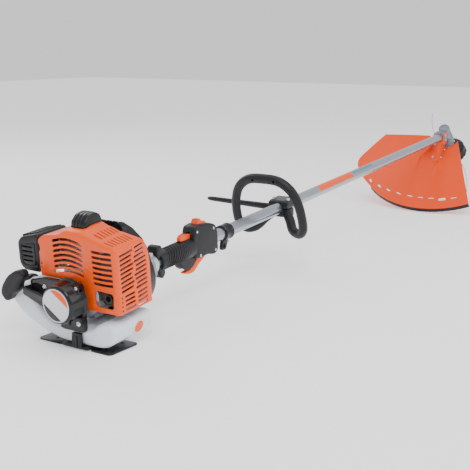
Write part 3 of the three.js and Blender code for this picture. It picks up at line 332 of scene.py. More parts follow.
def material(name, colour, roughness, metallic=0.0, grain=1400.0, bump=0.12, mottle=0.08, scuff=0.12,
             wear=0.0,
             streak=(1, 1, 1), coat=0.0, soft=0.0, specular=0.5):
    """A moulded, cast, painted or drawn surface, with mottling, uneven gloss, fine grain and wear."""
    made = bpy.data.materials.new(name)
    made.use_nodes = True
    nodes = made.node_tree.nodes
    link = made.node_tree.links.new
    shader = nodes["Principled BSDF"]
    shader.inputs["Metallic"].default_value = metallic
    shader.inputs["Coat Weight"].default_value = coat
    shader.inputs["Coat Roughness"].default_value = 0.12
    shader.inputs["Specular IOR Level"].default_value = specular
    if soft:
        shader.inputs["Subsurface Weight"].default_value = soft
        shader.inputs["Subsurface Radius"].default_value = (1.0, 1.0, 1.0)
        shader.inputs["Subsurface Scale"].default_value = 0.012
    place = nodes.new("ShaderNodeTexCoord")
    stretch = nodes.new("ShaderNodeMapping")
    stretch.inputs["Scale"].default_value = streak
    link(place.outputs["Object"], stretch.inputs["Vector"])

    cloud = nodes.new("ShaderNodeTexNoise")
    cloud.inputs["Scale"].default_value = 28.0
    cloud.inputs["Detail"].default_value = 5.0
    link(place.outputs["Object"], cloud.inputs["Vector"])
    fine = nodes.new("ShaderNodeTexNoise")
    fine.inputs["Scale"].default_value = grain
    fine.inputs["Detail"].default_value = 3.0
    link(stretch.outputs["Vector"], fine.inputs["Vector"])

    tint = nodes.new("ShaderNodeMix")
    tint.data_type = "RGBA"
    tint.inputs["A"].default_value = (*[c * (1 - mottle) for c in colour], 1)
    tint.inputs["B"].default_value = (*[min(1, c * (1 + mottle)) for c in colour], 1)
    link(cloud.outputs["Fac"], tint.inputs["Factor"])
    out = tint.outputs["Result"]
    if wear:
        edge = nodes.new("ShaderNodeNewGeometry")
        pick = nodes.new("ShaderNodeMapRange")
        pick.inputs["From Min"].default_value = 0.52
        pick.inputs["From Max"].default_value = 0.62
        pick.inputs["To Max"].default_value = wear
        link(edge.outputs["Pointiness"], pick.inputs["Value"])
        rub = nodes.new("ShaderNodeMix")
        rub.data_type = "RGBA"
        rub.inputs["B"].default_value = (*[min(1, c * 1.6 + 0.06) for c in colour], 1)
        link(pick.outputs["Result"], rub.inputs["Factor"])
        link(out, rub.inputs["A"])
        out = rub.outputs["Result"]
    link(out, shader.inputs["Base Color"])

    gloss = nodes.new("ShaderNodeMapRange")
    gloss.inputs["From Min"].default_value = 0.3
    gloss.inputs["From Max"].default_value = 0.7
    gloss.inputs["To Min"].default_value = max(0.03, roughness * (1 - scuff))
    gloss.inputs["To Max"].default_value = min(1, roughness * (1 + scuff))
    link(cloud.outputs["Fac"], gloss.inputs["Value"])
    link(gloss.outputs["Result"], shader.inputs["Roughness"])

    relief = nodes.new("ShaderNodeBump")
    relief.inputs["Strength"].default_value = bump
    relief.inputs["Distance"].default_value = 0.0004
    link(fine.outputs["Fac"], relief.inputs["Height"])
    link(relief.outputs["Normal"], shader.inputs["Normal"])
    return made


ORANGE = material("orange_plastic", (0.86, 0.085, 0.002), 0.32, grain=900, bump=0.03, mottle=0.05, coat=0.1,
                  specular=0.3)
GUARD = material("guard_orange", (0.80, 0.06, 0.002), 0.42, grain=1100, bump=0.05, mottle=0.05, wear=0.15,
                 specular=0.22)
BLACK = material("black_plastic", (0.007, 0.0074, 0.009), 0.30, grain=1500, bump=0.06, mottle=0.2, wear=0.06,
                 specular=0.3)
PIANO = material("glossy_black", (0.005, 0.005, 0.006), 0.14, grain=600, bump=0.02, mottle=0.2, coat=0.15,
                 specular=0.35)
GRIP = material("grip_plastic", (0.008, 0.0085, 0.011), 0.42, grain=2600, bump=0.35, mottle=0.2, wear=0.08,
                specular=0.3)
RUBBER = material("black_rubber", (0.009, 0.0094, 0.011), 0.50, grain=2200, bump=0.25, mottle=0.2, wear=0.06,
                  specular=0.3)
CORD = material("black_cord", (0.012, 0.012, 0.013), 0.75, grain=3000, bump=0.9, mottle=0.3)
STEEL = material("steel", (0.56, 0.57, 0.59), 0.28, 1.0, grain=1800, bump=0.1, mottle=0.1)
ZINC = material("zinc_plate", (0.66, 0.67, 0.70), 0.24, 1.0, grain=1500, bump=0.08, mottle=0.12)
DARK_STEEL = material("dark_steel", (0.10, 0.098, 0.095), 0.5, 0.85, grain=900, bump=0.3, mottle=0.3)
ALLOY = material("cast_alloy", (0.46, 0.47, 0.49), 0.46, 0.85, grain=700, bump=0.4, mottle=0.12, wear=0.3)
HEAD_PAINT = material("head_alloy", (0.15, 0.175, 0.215), 0.38, 0.45, grain=800, bump=0.25, mottle=0.12,
                      wear=0.5)
TUBE = material("tube_alloy", (0.40, 0.43, 0.49), 0.27, 0.9, grain=2200, bump=0.1, mottle=0.06,
                streak=(0.02, 1, 1))
MILKY = material("milky_plastic", (0.72, 0.765, 0.83), 0.33, grain=500, bump=0.04, mottle=0.05, soft=0.55,
                 coat=0.2)
CLEAR = material("clear_rubber", (0.62, 0.62, 0.58), 0.2, grain=800, bump=0.02, soft=0.6)
FOAM = material("foam", (0.05, 0.048, 0.042), 0.95, grain=1200, bump=1.0, mottle=0.3)
PAINTED = material("black_metal", (0.013, 0.014, 0.018), 0.34, 0.1, grain=1300, bump=0.15, mottle=0.2,
                   wear=0.25)
BRASS = material("brass", (0.55, 0.38, 0.14), 0.35, 1.0, grain=900, bump=0.2)
SILVER = material("silver_plastic", (0.60, 0.62, 0.65), 0.26, 0.7, grain=1600, bump=0.05, coat=0.3)
BLUE_GREY = material("decal_blue", (0.10, 0.20, 0.28), 0.35, grain=900, bump=0.02)
NYLON = material("nylon", (0.70, 0.30, 0.27), 0.4, grain=1500, bump=0.08, soft=0.3)

CAD_FINISH = {
    "steel": STEEL, "dark_steel": DARK_STEEL, "cast_alloy": ALLOY, "foam": FOAM, "brass": BRASS,
    "black_plastic": BLACK, "black_rubber": RUBBER, "black_cord": CORD, "clear_rubber": CLEAR,
    "orange_plastic": ORANGE, "milky_plastic": MILKY, "black_metal": PAINTED, "tube_alloy": TUBE,
    "grip_plastic": GRIP, "cast_black": PAINTED, "head_alloy": HEAD_PAINT, "guard_orange": GUARD,
    "skirt_rubber": RUBBER, "nylon": NYLON, "silver_plastic": SILVER,
}
node_slot = {s["node"]: s["material_slot"] for s in frame["record"]["subparts"]}


def dressed(node, bevel=0.35, segments=2, angle=35):
    """Gives a CAD node its finish, rounded edges and smooth shading."""
    obj = frame["nodes"][node]
    look = CAD_FINISH[node_slot[node]]
    obj.data.materials.clear()
    obj.data.materials.append(look)
    weld = obj.modifiers.new("weld", "WELD")
    weld.merge_threshold = 1e-6
    rim = obj.modifiers.new("edges", "BEVEL")
    rim.width = bevel * MM
    rim.segments = segments
    rim.limit_method = "ANGLE"
    rim.angle_limit = math.radians(angle)
    shading = obj.modifiers.new("shading", "WEIGHTED_NORMAL")
    shading.keep_sharp = True
    return obj


for name in frame["nodes"]:
    dressed(name)


# ---- fasteners ----------------------------------------------------------------------------------------

def screw_head(at, towards, radius=4.0, height=2.6):
    """A washer-faced screw head with a star recess, standing on a face."""
    turn = Vector((0, 0, 1)).rotation_difference(Vector(towards)).to_matrix().to_4x4()
    local = Matrix.Translation(Vector(at)) @ turn
    profile = [(-1.5, 0), (-1.5, radius * 0.55), (0, radius * 0.55), (0, radius * 1.25),
               (0.7, radius * 1.25),
               (0.9, radius * 0.98), (height * 0.75, radius * 0.95), (height, radius * 0.72), (height, 0)]
    head = lathe("screw", profile, "Z", 28, where=local)
    star = [(radius * (0.52 if i % 2 else 0.36) * math.cos(math.tau * i / 12),
             radius * (0.52 if i % 2 else 0.36) * math.sin(math.tau * i / 12)) for i in range(12)]
    recess = prism("recess", rounded(star, 0.3, 1), "Z", height * 0.35, height + 1, local)
    return cut(head, recess)


def fasteners(name, places, body, look=None, frame_of=None, **size):
    heads = [screw_head(at, towards, **size) for at, towards in places]
    return finished(gathered(name, heads), body, look or ZINC, bevel=0, frame_of=frame_of)


# ---- camera, light and floor --------------------------------------------------------------------------

CAMERA_YAW = math.radians(33.54)
CAMERA_PITCH = math.radians(12.02)
CAMERA_OFFSET = Vector((-1107.4, -1116.4, 546.8)) * MM  # from the ground under the starter's axis

eye = bpy.data.cameras.new("camera")
eye.sensor_width = 36.0
eye.lens = 69.14
camera = bpy.data.objects.new("camera", eye)
camera.location = Vector((tool_origin.x, tool_origin.y, 0)) + CAMERA_OFFSET
camera.rotation_euler = (math.pi / 2 - CAMERA_PITCH, 0, CAMERA_YAW - math.pi / 2)
bpy.context.scene.collection.objects.link(camera)
bpy.context.scene.camera = camera


def lamp(name, location, target, size, power):
    light = bpy.data.lights.new(name, "AREA")
    light.shape = "DISK"
    light.size = size
    light.energy = power
    obj = bpy.data.objects.new(name, light)
    obj.location = location
    aim = Vector(target) - Vector(location)
    obj.rotation_euler = aim.to_track_quat("-Z", "Y").to_euler()
    bpy.context.scene.collection.objects.link(obj)


lamp("key", (-1.9, -1.3, 2.2), (-0.5, 0, 0.1), 1.3, 34)
lamp("fill", (0.6, -2.6, 1.5), (0, 0, 0.1), 2.2, 20)
lamp("back", (0.4, 2.4, 2.0), (0, 0, 0.1), 1.8, 24)
lamp("top", (-0.2, 0, 2.8), (0, 0, 0), 2.4, 16)

world = bpy.data.worlds.new("studio")
bpy.context.scene.world = world
world.use_nodes = True
world.node_tree.nodes["Background"].inputs["Color"].default_value = (1, 1, 1, 1)
world.node_tree.nodes["Background"].inputs["Strength"].default_value = 0.95

FLOOR = 9.0
floor = solid("floor", [(-FLOOR, -FLOOR, -0.0003), (FLOOR, -FLOOR, -0.0003), (FLOOR, FLOOR, -0.0003),
                        (-FLOOR, FLOOR, -0.0003)], [(0, 1, 2, 3)])
pale = material("pale_floor", (0.95, 0.95, 0.955), 0.7, grain=300, bump=0.02, mottle=0.005)
glow = pale.node_tree.nodes["Principled BSDF"].inputs
glow["Emission Color"].default_value = (1, 1, 1, 1)
glow["Emission Strength"].default_value = 0.3
floor.data.materials.append(pale)


# ---- engine cover -------------------------------------------------------------------------------------

COVER_LOW, COVER_HIGH = tool_box("engine_cover")
COVER_REAR = COVER_LOW.x
COVER_FRONT = COVER_HIGH.x
COVER_LEFT = COVER_HIGH.y
COVER_RIGHT = COVER_LOW.y
COVER_WALL = 3.0


def crest_lift(x):
    """How much the ridge round the plug cap stands over the cover's rear edge."""
    return 10.0 * min(1.0, max(0.0, (x - COVER_REAR) / 34.0)) ** 0.8


def cover_section(x, margin):
    """The cover's outline across the shaft, with its ridge, sloping shoulder and starter notch."""
    lift = crest_lift(x)
    points = [(COVER_LEFT, 26), (COVER_LEFT, 99), (73, 108), (38, 112 + lift * 0.15), (24, 119 + lift),
              (-19, 119 + lift), (-30, 115 + lift * 0.8), (-62, 108 + lift * 0.35), (COVER_RIGHT + 4, 102),
              (COVER_RIGHT, 95), (COVER_RIGHT, -24), (-12, -24), (-14, 26)]
    return inset(rounded(points, 6, 4), margin)


def cover_inner(x):
    """The inside outline, pushed out past the open lower edges."""
    out = []
    for y, z in cover_section(x, COVER_WALL):
        if z < 30 and y > -24:
            z -= 12
            y += 12 if y > 60 else 0
        elif z < -12:
            z -= 12
        out.append((y, z))
    return out


def cover_skin():
    stations = [(COVER_REAR, 5.0), (COVER_REAR + 0.5, 3.2), (COVER_REAR + 1.6, 1.5), (COVER_REAR + 3.4, 0.4),
                (COVER_REAR + 6, 0.0)]
    stations += [(COVER_REAR + 6 + 8.5 * i, 0.0) for i in range(1, 11)]
    loops = [[PLACE["X"](p, min(x, COVER_FRONT)) for p in cover_section(x, margin)] for x,
             margin in stations]
    outer = loft("engine_shroud", loops)
    depths = [COVER_REAR + COVER_WALL + 9 * i for i in range(12)]
    inner = loft("inside", [[PLACE["X"](p, x) for p in cover_inner(x)] for x in depths])
    return cut(outer, inner)


def arched_slot(y0, y1, z, height, arch, steps=8):
    upper = []
    lower = []
    for i in range(steps + 1):
        t = i / steps
        rise = arch * math.sin(math.pi * t)
        upper.append((y0 + (y1 - y0) * t, z + rise + height))
        lower.insert(0, (y0 + (y1 - y0) * t, z + rise))
    return rounded(upper + lower, 1.6, 2)


def cover_holes():
    x0, x1 = COVER_REAR - 2, COVER_REAR + COVER_WALL + 2
    y0, y1 = COVER_RIGHT - 2, COVER_RIGHT + COVER_WALL + 2
    holes = []
    for row in range(7):
        z = 37.5 + row * 9.8
        holes.append(prism("hole", arched_slot(-20, 52, z, 5.6, 6.5), "X", x0, x1))
        holes.append(prism("hole", arched_slot(-89, -42, z - 8.5, 5.6, -1.0), "X", x0, x1))
    holes.append(prism("hole", rounded([(-43, -13), (-43, 19), (-88, 17), (-86, -13)], 7), "X", x0, x1))
    for z in (44, 52):
        holes.append(prism("hole", circle(2.0, (84, z), 12), "X", x0, x1))
    for row in range(10):
        z = 19 + row * 8.3
        split = 103 + 3 * math.sin(row * 1.7)
        if z < 90:
            holes.append(prism("hole", rounded([(66, z - 2), (split - 3, z + 1.5), (split - 3, z + 6.3),
                                                (66, z + 2.8)],
                                               1.4, 2), "Y", y0, y1))
        front = 138 if z < 74 else 132
        holes.append(prism("hole", rounded([(split + 3, z - 5), (front, z - 2), (front, z + 2.8),
                                            (split + 3, z - 0.2)],
                                           1.4, 2), "Y", y0, y1))
    for row in range(4):
        z = -17 + row * 8.0
        holes.append(prism("hole", rounded([(74, z), (102, z + 1), (102, z + 5.4), (74, z + 4.4)], 1.2, 2),
                           "Y", y0, y1))
        holes.append(prism("hole", rounded([(64, z), (68, z), (68, z + 4), (64, z + 4)], 0.8, 2), "Y", y0,
                           y1))
        holes.append(prism("hole", rounded([(109, z - 3), (136, z), (136, z + 4.4), (109, z + 1.4)], 1.2, 2),
                           "Y", y0, y1))
    for row in range(7):
        x = 72 + row * 8.5
        holes.append(prism("hole", rounded([(x, -58), (x + 3.6, -58), (x + 3.6, -37), (x, -37)], 1.2, 2),
                           "Z", 92, 132))
        holes.append(prism("hole", rounded([(x - 8, -90), (x - 4.4, -90), (x - 4.4, -67), (x - 8, -67)],
                                           1.2, 2),
                           "Z", 90, 132))
    return gathered("holes", holes)


def engine_cover():
    skin = cover_skin()
    room = prism("room", rounded([(74, -17), (125, -17), (125, 21), (74, 21)], 7), "Z", 105, 150)
    nose = prism("nose", [(114, 160), (119.5, 125), (126, 112), (134, 101), (141, 87), (146, 70),
                          (148.5, 52),
                          (170, 52), (170, 160)], "Y", -130, 130)
    notch = prism("notch", rounded([(100, 72), (86, 74), (84, 82), (86, 91), (100, 93)], 4), "X",
                  COVER_REAR - 3, 76)
    cut(skin, cover_holes(), room, nose, notch)
    return finished(skin, "body", ORANGE, bevel=0.6, replaces=["engine_cover"])


engine_cover()


# ---- recoil starter -----------------------------------------------------------------------------------

BOSS_RADIUS = 36.5
ROPE_X = 30.0
ROPE_RISE = math.radians(17.5)
PULLEY_RADIUS = 24.0
ROPE_DIRECTION = Vector((0, math.cos(ROPE_RISE), math.sin(ROPE_RISE)))
ROPE_FOOT = Vector((ROPE_X, PULLEY_RADIUS * math.sin(ROPE_RISE), -PULLEY_RADIUS * math.cos(ROPE_RISE)))
ARM_END = 101.0


def on_rope(distance, across=0.0):
    """A place in the plane of the rope's line, as (Y, Z)."""
    p = ROPE_FOOT + ROPE_DIRECTION * distance
    return (p.y - across * math.sin(ROPE_RISE), p.z + across * math.cos(ROPE_RISE))


def starter_housing():
    flange = pillow("recoil_housing", rounded([(-31, 34), (-31, -60), (29, -60), (53, -31), (69, 4),
                                               (98, 13),
                                               (98, 25), (62, 33)], 9), "X", 36, 45.8, 2.5)
    boss = lathe("boss", [(2.3, 0), (2.3, 33.2), (2.9, 34.6), (4.4, 36), (6.5, BOSS_RADIUS),
                          (34, BOSS_RADIUS + 0.6),
                          (37, BOSS_RADIUS + 2.4), (39, BOSS_RADIUS + 5), (39, 0)], steps=80)
    arm = pillow("arm", rounded([on_rope(28, -12), on_rope(ARM_END, -9), on_rope(ARM_END, 9),
                                 on_rope(28, 15)], 5),
                 "X", 20.5, 41.5, 4)
    ear = pillow("ear", rounded([(-33, 34), (-33, 16), (-16, 12), (-12, 36)], 6), "X", 27, 40, 2)
    low_ear = pillow("low_ear", rounded([(-32, -26), (-32, -46), (-14, -48), (-12, -28)], 6), "X", 27, 40, 2)
    unite(flange, boss, arm, ear, low_ear)
    hollow = lathe("hollow", [(5.3, 0), (5.3, 32), (60, 32), (60, 0)], steps=40)
    bore = pipe("bore", [(ROPE_X, *on_rope(0)), (ROPE_X, *on_rope(ARM_END + 8))], 3.2, straight=True)
    emblem_seat = lathe("seat", [(1, 0), (1, 31.9), (2.4, 31.9), (2.4, 0)])
    cut(flange, hollow, bore, emblem_seat)
    return finished(flange, "body", PIANO, bevel=0.7, replaces=["starter_housing"])


def starter_ribs():
    """Low stiffening ribs that fan out over the flange, and the ferrule that the rope leaves through."""
    ribs = []
    for y, z in ((52, -8), (40, -32), (6, -50)):
        reach = math.hypot(y, z)
        along = Vector((0, y / reach, z / reach))
        ribs.append(pipe("rib", [Vector((33, 0, 0)) + along * (BOSS_RADIUS - 1),
                                 Vector((36.2, 0, 0)) + along * reach],
                         2.0, sides=12, straight=True))
    mouth = ROPE_FOOT + ROPE_DIRECTION * ARM_END
    lips = []
    for distance, radius in ((-3, 3.4), (-3, 6.2), (1.6, 6.2), (2.6, 5.2), (2.6, 3.4)):
        centre = mouth + ROPE_DIRECTION * distance
        across = ROPE_DIRECTION.cross(Vector((1, 0, 0)))
        lips.append([centre + Vector((radius * math.cos(a), 0, 0)) + across * (radius * math.sin(a))
                     for a in (math.tau * k / 24 for k in range(24))])
    ribs.append(loft("ferrule", lips, ring=True))
    return finished(gathered("recoil_ribs", ribs), "body", PIANO, bevel=0.2)


def starter_badge():
    """A plain silver disc with two plain coloured caps, in place of any mark."""
    disc = lathe("badge_disc", [(1.9, 0), (1.9, 31.5), (0.6, 31.5), (0.0, 30.9), (0.0, 29.8), (0.5, 29.2),
                                (0.5, 0)],
                 steps=96)
    finished(disc, "body", SILVER, bevel=0, replaces=["starter_emblem"])
    for name, start, end, look, slot in (("badge_cap_light", 250, 360, ORANGE, "orange_plastic"),
                                         ("badge_cap_dark", 70, 180, PIANO, "black_plastic")):
        arc = [(-29 * math.cos(math.radians(a)), 29 * math.sin(math.radians(a)))
               for a in (start + (end - start) * k / 24 for k in range(25))]
        arc = [(y, -z) for y, z in arc]
        cap = prism(name, arc, "X", 0.15, 0.7)
        finished(cap, "body", look, bevel=0.12)


def starter_grip():
    outline = rounded([(94, 35), (101, 46), (120, 43), (142, 29), (159, 7), (163, -9), (151, -22),
                       (141, -19),
                       (130, -5), (115, 3), (109, 20)], 9, 6)
    body = pillow("pull_grip", outline, "X", 17.2, 38.2, 6.5, steps=6)
    slot = prism("slot", rounded([(122, 24), (134, 17), (146, 2), (149, -8), (145, -10), (137, -2),
                                  (124, 10)], 4),
                 "X", 10, 46)
    cut(body, slot, folded=True)
    return finished(body, "pull", RUBBER, bevel=1.3, segments=3, replaces=["starter_grip"])


def starter_rope():
    """The rope runs from inside the housing to the grip and stretches between the two."""
    start = ROPE_FOOT + ROPE_DIRECTION * 6
    end = ROPE_FOOT + ROPE_DIRECTION * (ARM_END + 16)
    path = [start.lerp(end, i / 60) for i in range(61)]
    rope = pipe("pull_rope", path, lambda t: 1.75 + 0.12 * math.sin(t * 260), sides=10, straight=True)
    rope.data.transform(TOOL)
    rope.data.materials.append(CORD)
    rope.data.shade_smooth()
    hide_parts("starter_rope")
    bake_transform(rope)


starter_housing()
starter_ribs()
starter_badge()
starter_grip()
starter_rope()
fasteners("recoil_screws", [((27.0, -27, 28), (-1, 0, 0)), ((27.0, -26, -39), (-1, 0, 0)),
                            ((35.9, 60, 16), (-1, 0, 0)),
                            ((35.9, 30, -50), (-1, 0, 0))], "body", radius=3.6)


# ---- shared shapes ------------------------------------------------------------------------------------

def rod(name, radius, start, end, sides=32):
    """A straight round bar between two points."""
    along = Vector(end) - Vector(start)
    turn = Vector((0, 0, 1)).rotation_difference(along).to_matrix().to_4x4()
    return prism(name, circle(radius, steps=sides), "Z", 0, along.length,
                 Matrix.Translation(Vector(start)) @ turn)


def block(name, x0, x1, y0, y1, z0, z1):
    return prism(name, [(x0, y0), (x1, y0), (x1, y1), (x0, y1)], "Z", z0, z1)


def knurled(name, profile, axis, ribs, depth, centre=(0, 0), fine=8):
    """A turned piece with ribs round it. profile holds (station, radius, share of the rib depth)."""
    steps = ribs * fine
    loops = []
    for station, radius, share in profile:
        ring = []
        for i in range(steps):
            angle = math.tau * i / steps
            wave = max(0.0, math.cos(ribs * angle)) ** 0.7
            r = radius - depth * share * wave
            ring.append(PLACE[axis]((centre[0] + r * math.cos(angle), centre[1] + r * math.sin(angle)),
                                    station))
        loops.append(ring)
    return loft(name, loops)


def groove_round(outline, axis, place, width=0.6, depth=0.7):
    """The cutter for a narrow seam line all round an outline."""
    outer = inset(outline, -1.5)
    inner = inset(outline, depth)
    low, high = place - width / 2, place + width / 2
    loops = [[PLACE[axis](p, d) for p in line] for line, d in ((outer, low), (outer, high), (inner, high),
                                                              (inner, low))]
    return loft("groove", loops, ring=True)


# ---- fuel tank and stand ------------------------------------------------------------------------------

TANK_LOW, TANK_HIGH = tool_box("fuel_tank")
FILLER = (104, -14)
TANK_OUTLINE = rounded([(-98, -46), (-90, -75), (-66, -86), (30, -86), (74, -76), (126, -54), (158, -26),
                        (154, 2),
                        (134, 8), (108, -6), (78, -38), (52, -56), (-40, -56), (-60, -38), (-88, -36)], 14,
                       5)
STARTER_PLATE = rounded([(-31, 34), (-31, -60), (31, -60), (53, -31), (69, 4), (99, 13), (99, 26),
                         (62, 34)], 8)


def fuel_tank():
    tank = pillow("petrol_tank", TANK_OUTLINE, "X", TANK_LOW.x, TANK_HIGH.x, 8, steps=6)
    middle = (TANK_LOW.x + TANK_HIGH.x) / 2
    seam = pillow("seam", inset(TANK_OUTLINE, -0.9), "X", middle - 1.4, middle + 1.4, 0.6, steps=2)
    neck = lathe("neck", [(136, 0), (136, 17), (143, 15.4), (161, 15), (161, 0)], "Y", 40, FILLER)
    unite(tank, seam, neck)
    throat = lathe("throat", [(130, 0), (130, 12), (165, 12), (165, 0)], "Y", 32, FILLER)
    notch = prism("notch", inset(STARTER_PLATE, -1), "X", TANK_LOW.x - 5, 47)
    cut(tank, throat, notch)
    finished(tank, "body", MILKY, bevel=0.8, replaces=["fuel_tank"])


def tank_roundel():
    """A plain round sticker on the tank's right end."""
    outward = Vector((0, -29, -8)).normalized()
    at = Vector((112, -94, -60.5)) + outward * 0.05
    sticker = rod("tank_roundel", 11.5, at - outward * 0.5, at + outward * 0.35, 48)
    finished(sticker, "body", ORANGE, bevel=0.1, segments=1)


def fuel_cap():
    x, z = FILLER
    cap = knurled("filler_cap", [(161.3, 17, 0), (161.3, 19, 0.3), (162.4, 19.8, 1), (170.5, 19.8, 1),
                                 (172.3, 18.2, 0.4), (172.6, 16, 0)], "Y", 20, 1.2, (x, z))
    bar = pillow("bar", rounded([(x - 15, z - 3), (x + 15, z - 3), (x + 15, z + 3), (x - 15, z + 3)], 3),
                 "Y", 171, 176, 1.2)
    plug = rod("plug", 11.5, (x, 152, z), (x, 162, z))
    unite(cap, bar, plug)
    finished(cap, "cap", BLACK, bevel=0.4, replaces=["fuel_cap"])


def engine_stand():
    """Two folded feet, the bridge between them and the ribbed upright that climbs behind the tank."""
    feet = []
    for y0, y1 in ((26, 93), (-87, -36)):
        foot = pillow("foot", rounded([(43, y0), (124, y0), (124, y1), (43, y1)], 9), "Z", 0.05, 3, 0.8,
                      steps=3)
        for x in (62, 106):
            cut(foot, rod("hole", 3.3, (x, (y0 + y1) / 2, -2), (x, (y0 + y1) / 2, 6), 24))
        feet.append(foot)
    bridge = pillow("engine_rest", rounded([(38, -38), (118, -38), (118, 28), (38, 28)], 6), "Z", 2.2, 6.3,
                    1.2)
    for x in (58, 78, 98):
        cut(bridge, prism("slot", rounded([(x, -22), (x + 7, -22), (x + 7, 14), (x, 14)], 3), "Z", -3, 12))
    unite(bridge, *feet)
    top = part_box("engine_stand")[1][2] / MM
    upright = pillow("upright", rounded([(-24, 2), (2, 2), (0, top - 0.2),
                                         (-22, top - 0.2)], 3), "X",
                     38, 43, 1)
    rib = pillow("rib", rounded([(-13, 4), (-9, 4), (-9, top - 6), (-13, top - 6)], 1.5),
                 "X", 36.6,
                 39, 0.5, steps=2)
    unite(bridge, upright, rib)
    finished(bridge, "body", BLACK, bevel=0.3, replaces=["engine_stand"], frame_of=GROUND)


fuel_tank()
tank_roundel()
fuel_cap()
engine_stand()


# ---- air filter and plug cap --------------------------------------------------------------------------

FILTER_LOW, FILTER_HIGH = tool_box("air_filter_cover")


def filter_cover():
    left, right = FILTER_HIGH.y, FILTER_LOW.y
    outline = rounded([(right, 30), (right, 107), (left - 10, 96), (left, 86), (left, 42), (left - 12, 30)],
                      9, 6)
    shell = pillow("filter_case", outline, "X", FILTER_LOW.x, FILTER_HIGH.x, 5, steps=5)
    room = pillow("room", rounded([(right - 5, 33), (right - 5, 101), (left - 12, 92), (left - 3, 83),
                                   (left - 3, 45),
                                   (left - 13, 33)], 4), "X", FILTER_LOW.x + 3, FILTER_HIGH.x - 3, 2)
    cut(shell, room)
    for row in range(5):
        y = right + 8 + row * 8.5
        top = 107.4 - (y - right) * 0.21
        rib = pillow("louvre", rounded([(y, top - 5), (y + 1.2, top + 1.6), (y + 4.6, top + 0.6),
                                        (y + 4.6, top - 5)],
                                       1, 2), "X", FILTER_LOW.x + 7, FILTER_HIGH.x - 7, 0.8, steps=2)
        unite(shell, rib)
    panel = rounded([(100, 42), (100, 90), (132, 84), (138, 78), (138, 48), (130, 42)], 5)
    cut(shell, loft("panel_line", [[PLACE["X"](p, d) for p in line] for line, d in
                                   ((panel, FILTER_LOW.x - 1), (panel, FILTER_LOW.x + 1.1),
                                    (inset(panel, 1.8), FILTER_LOW.x + 1.1),
                                    (inset(panel, 1.8), FILTER_LOW.x - 1))],
                    ring=True))
    for row in range(4):
        z = 50 + row * 9
        cut(shell, prism("vent", rounded([(108, z), (135, z), (135, z + 3), (108, z + 3)], 1.4), "X",
                         FILTER_LOW.x - 2, FILTER_LOW.x + 4))
    finished(shell, "body", BLACK, bevel=0.5, replaces=["air_filter_cover"])


def filter_knob():
    left = FILTER_HIGH.y
    knob = knurled("filter_knob", [(left - 1, 8, 0), (left - 1, 11, 0.5), (left + 5, 10.6, 1),
                                   (left + 7, 9, 0.4),
                                   (left + 7.4, 6, 0)], "Y", 8, 1.6, (100, 64))
    finished(knob, "body", BLACK, bevel=0.3)


def plug_cap():
    outline = rounded([(75, 123), (77, 136), (90, 147), (108, 149), (119, 143), (124, 131), (122, 122),
                       (98, 121)], 4)
    cap = pillow("ignition_boot", outline, "Y", -16, 20, 3.5, steps=5)
    for y in (-6, 2, 10):
        unite(cap, prism("rib", inset(outline, -0.7), "Y", y, y + 2))
    finished(cap, "body", BLACK, bevel=0.8, replaces=["spark_plug_cap"])


filter_cover()
filter_knob()
plug_cap()


# ---- fan and clutch housings --------------------------------------------------------------------------

FAN_LOW, FAN_HIGH = tool_box("fan_housing")


def fan_section(margin):
    """The housing's outline across the shaft: a round belly under a tall rounded arch."""
    belly = [(62 * math.cos(a), 62 * math.sin(a)) for a in (math.radians(-84 + 8 * k) for k in range(15))]
    arch = [(20 + 20 * math.cos(a),
             101 + 20 * math.sin(a)) for a in (math.radians(15 * k) for k in range(7))]
    half = [*belly, (50.4, 40), (45, 80), *arch]
    return inset(half + [(-y, z) for y, z in reversed(half)], margin)


def fan_shell(name, margin, x0, x1):
    """The section's bar, cut to the housing's side view."""
    bottom = FAN_LOW.z + margin
    front = x1 - margin * 0.3
    side = [(x0, bottom), (204, bottom), (front, bottom + 6), (front, 54 - margin),
            (197 - margin, 80 - margin),
            (179 - margin, 103 - margin), (163 - margin, 117 - margin), (150 + margin, 121 - margin),
            (150 + margin, 84 - margin), (x0, 70 - margin)]
    bar = prism(name, fan_section(margin), "X", x0 - 1, x1 + 1)
    return combined(bar, [prism("side", side, "Y", -80, 80)], "INTERSECT")


def fan_housing():
    outer = fan_shell("fan_shroud", 0, FAN_LOW.x, FAN_HIGH.x)
    inner = fan_shell("room", 3.2, FAN_LOW.x - 1, FAN_HIGH.x - 3.2)
    cut(outer, inner, rod("opening", 44, (195, 0, 0), (215, 0, 0), 64))
    for y in (-30, -15, 0, 15, 30):
        crest = [(153, 119.5), (164, 115.5), (180, 101), (198, 77.5), (206, 58)]
        body = [(x + 1.3, z + 1.6) for x, z in crest] + [(x - 3, z - 3) for x, z in reversed(crest)]
        unite(outer, prism("rib", body, "Y", y - 1.1, y + 1.1))
    finished(outer, "body", BLACK, bevel=0.9, replaces=["fan_housing"])


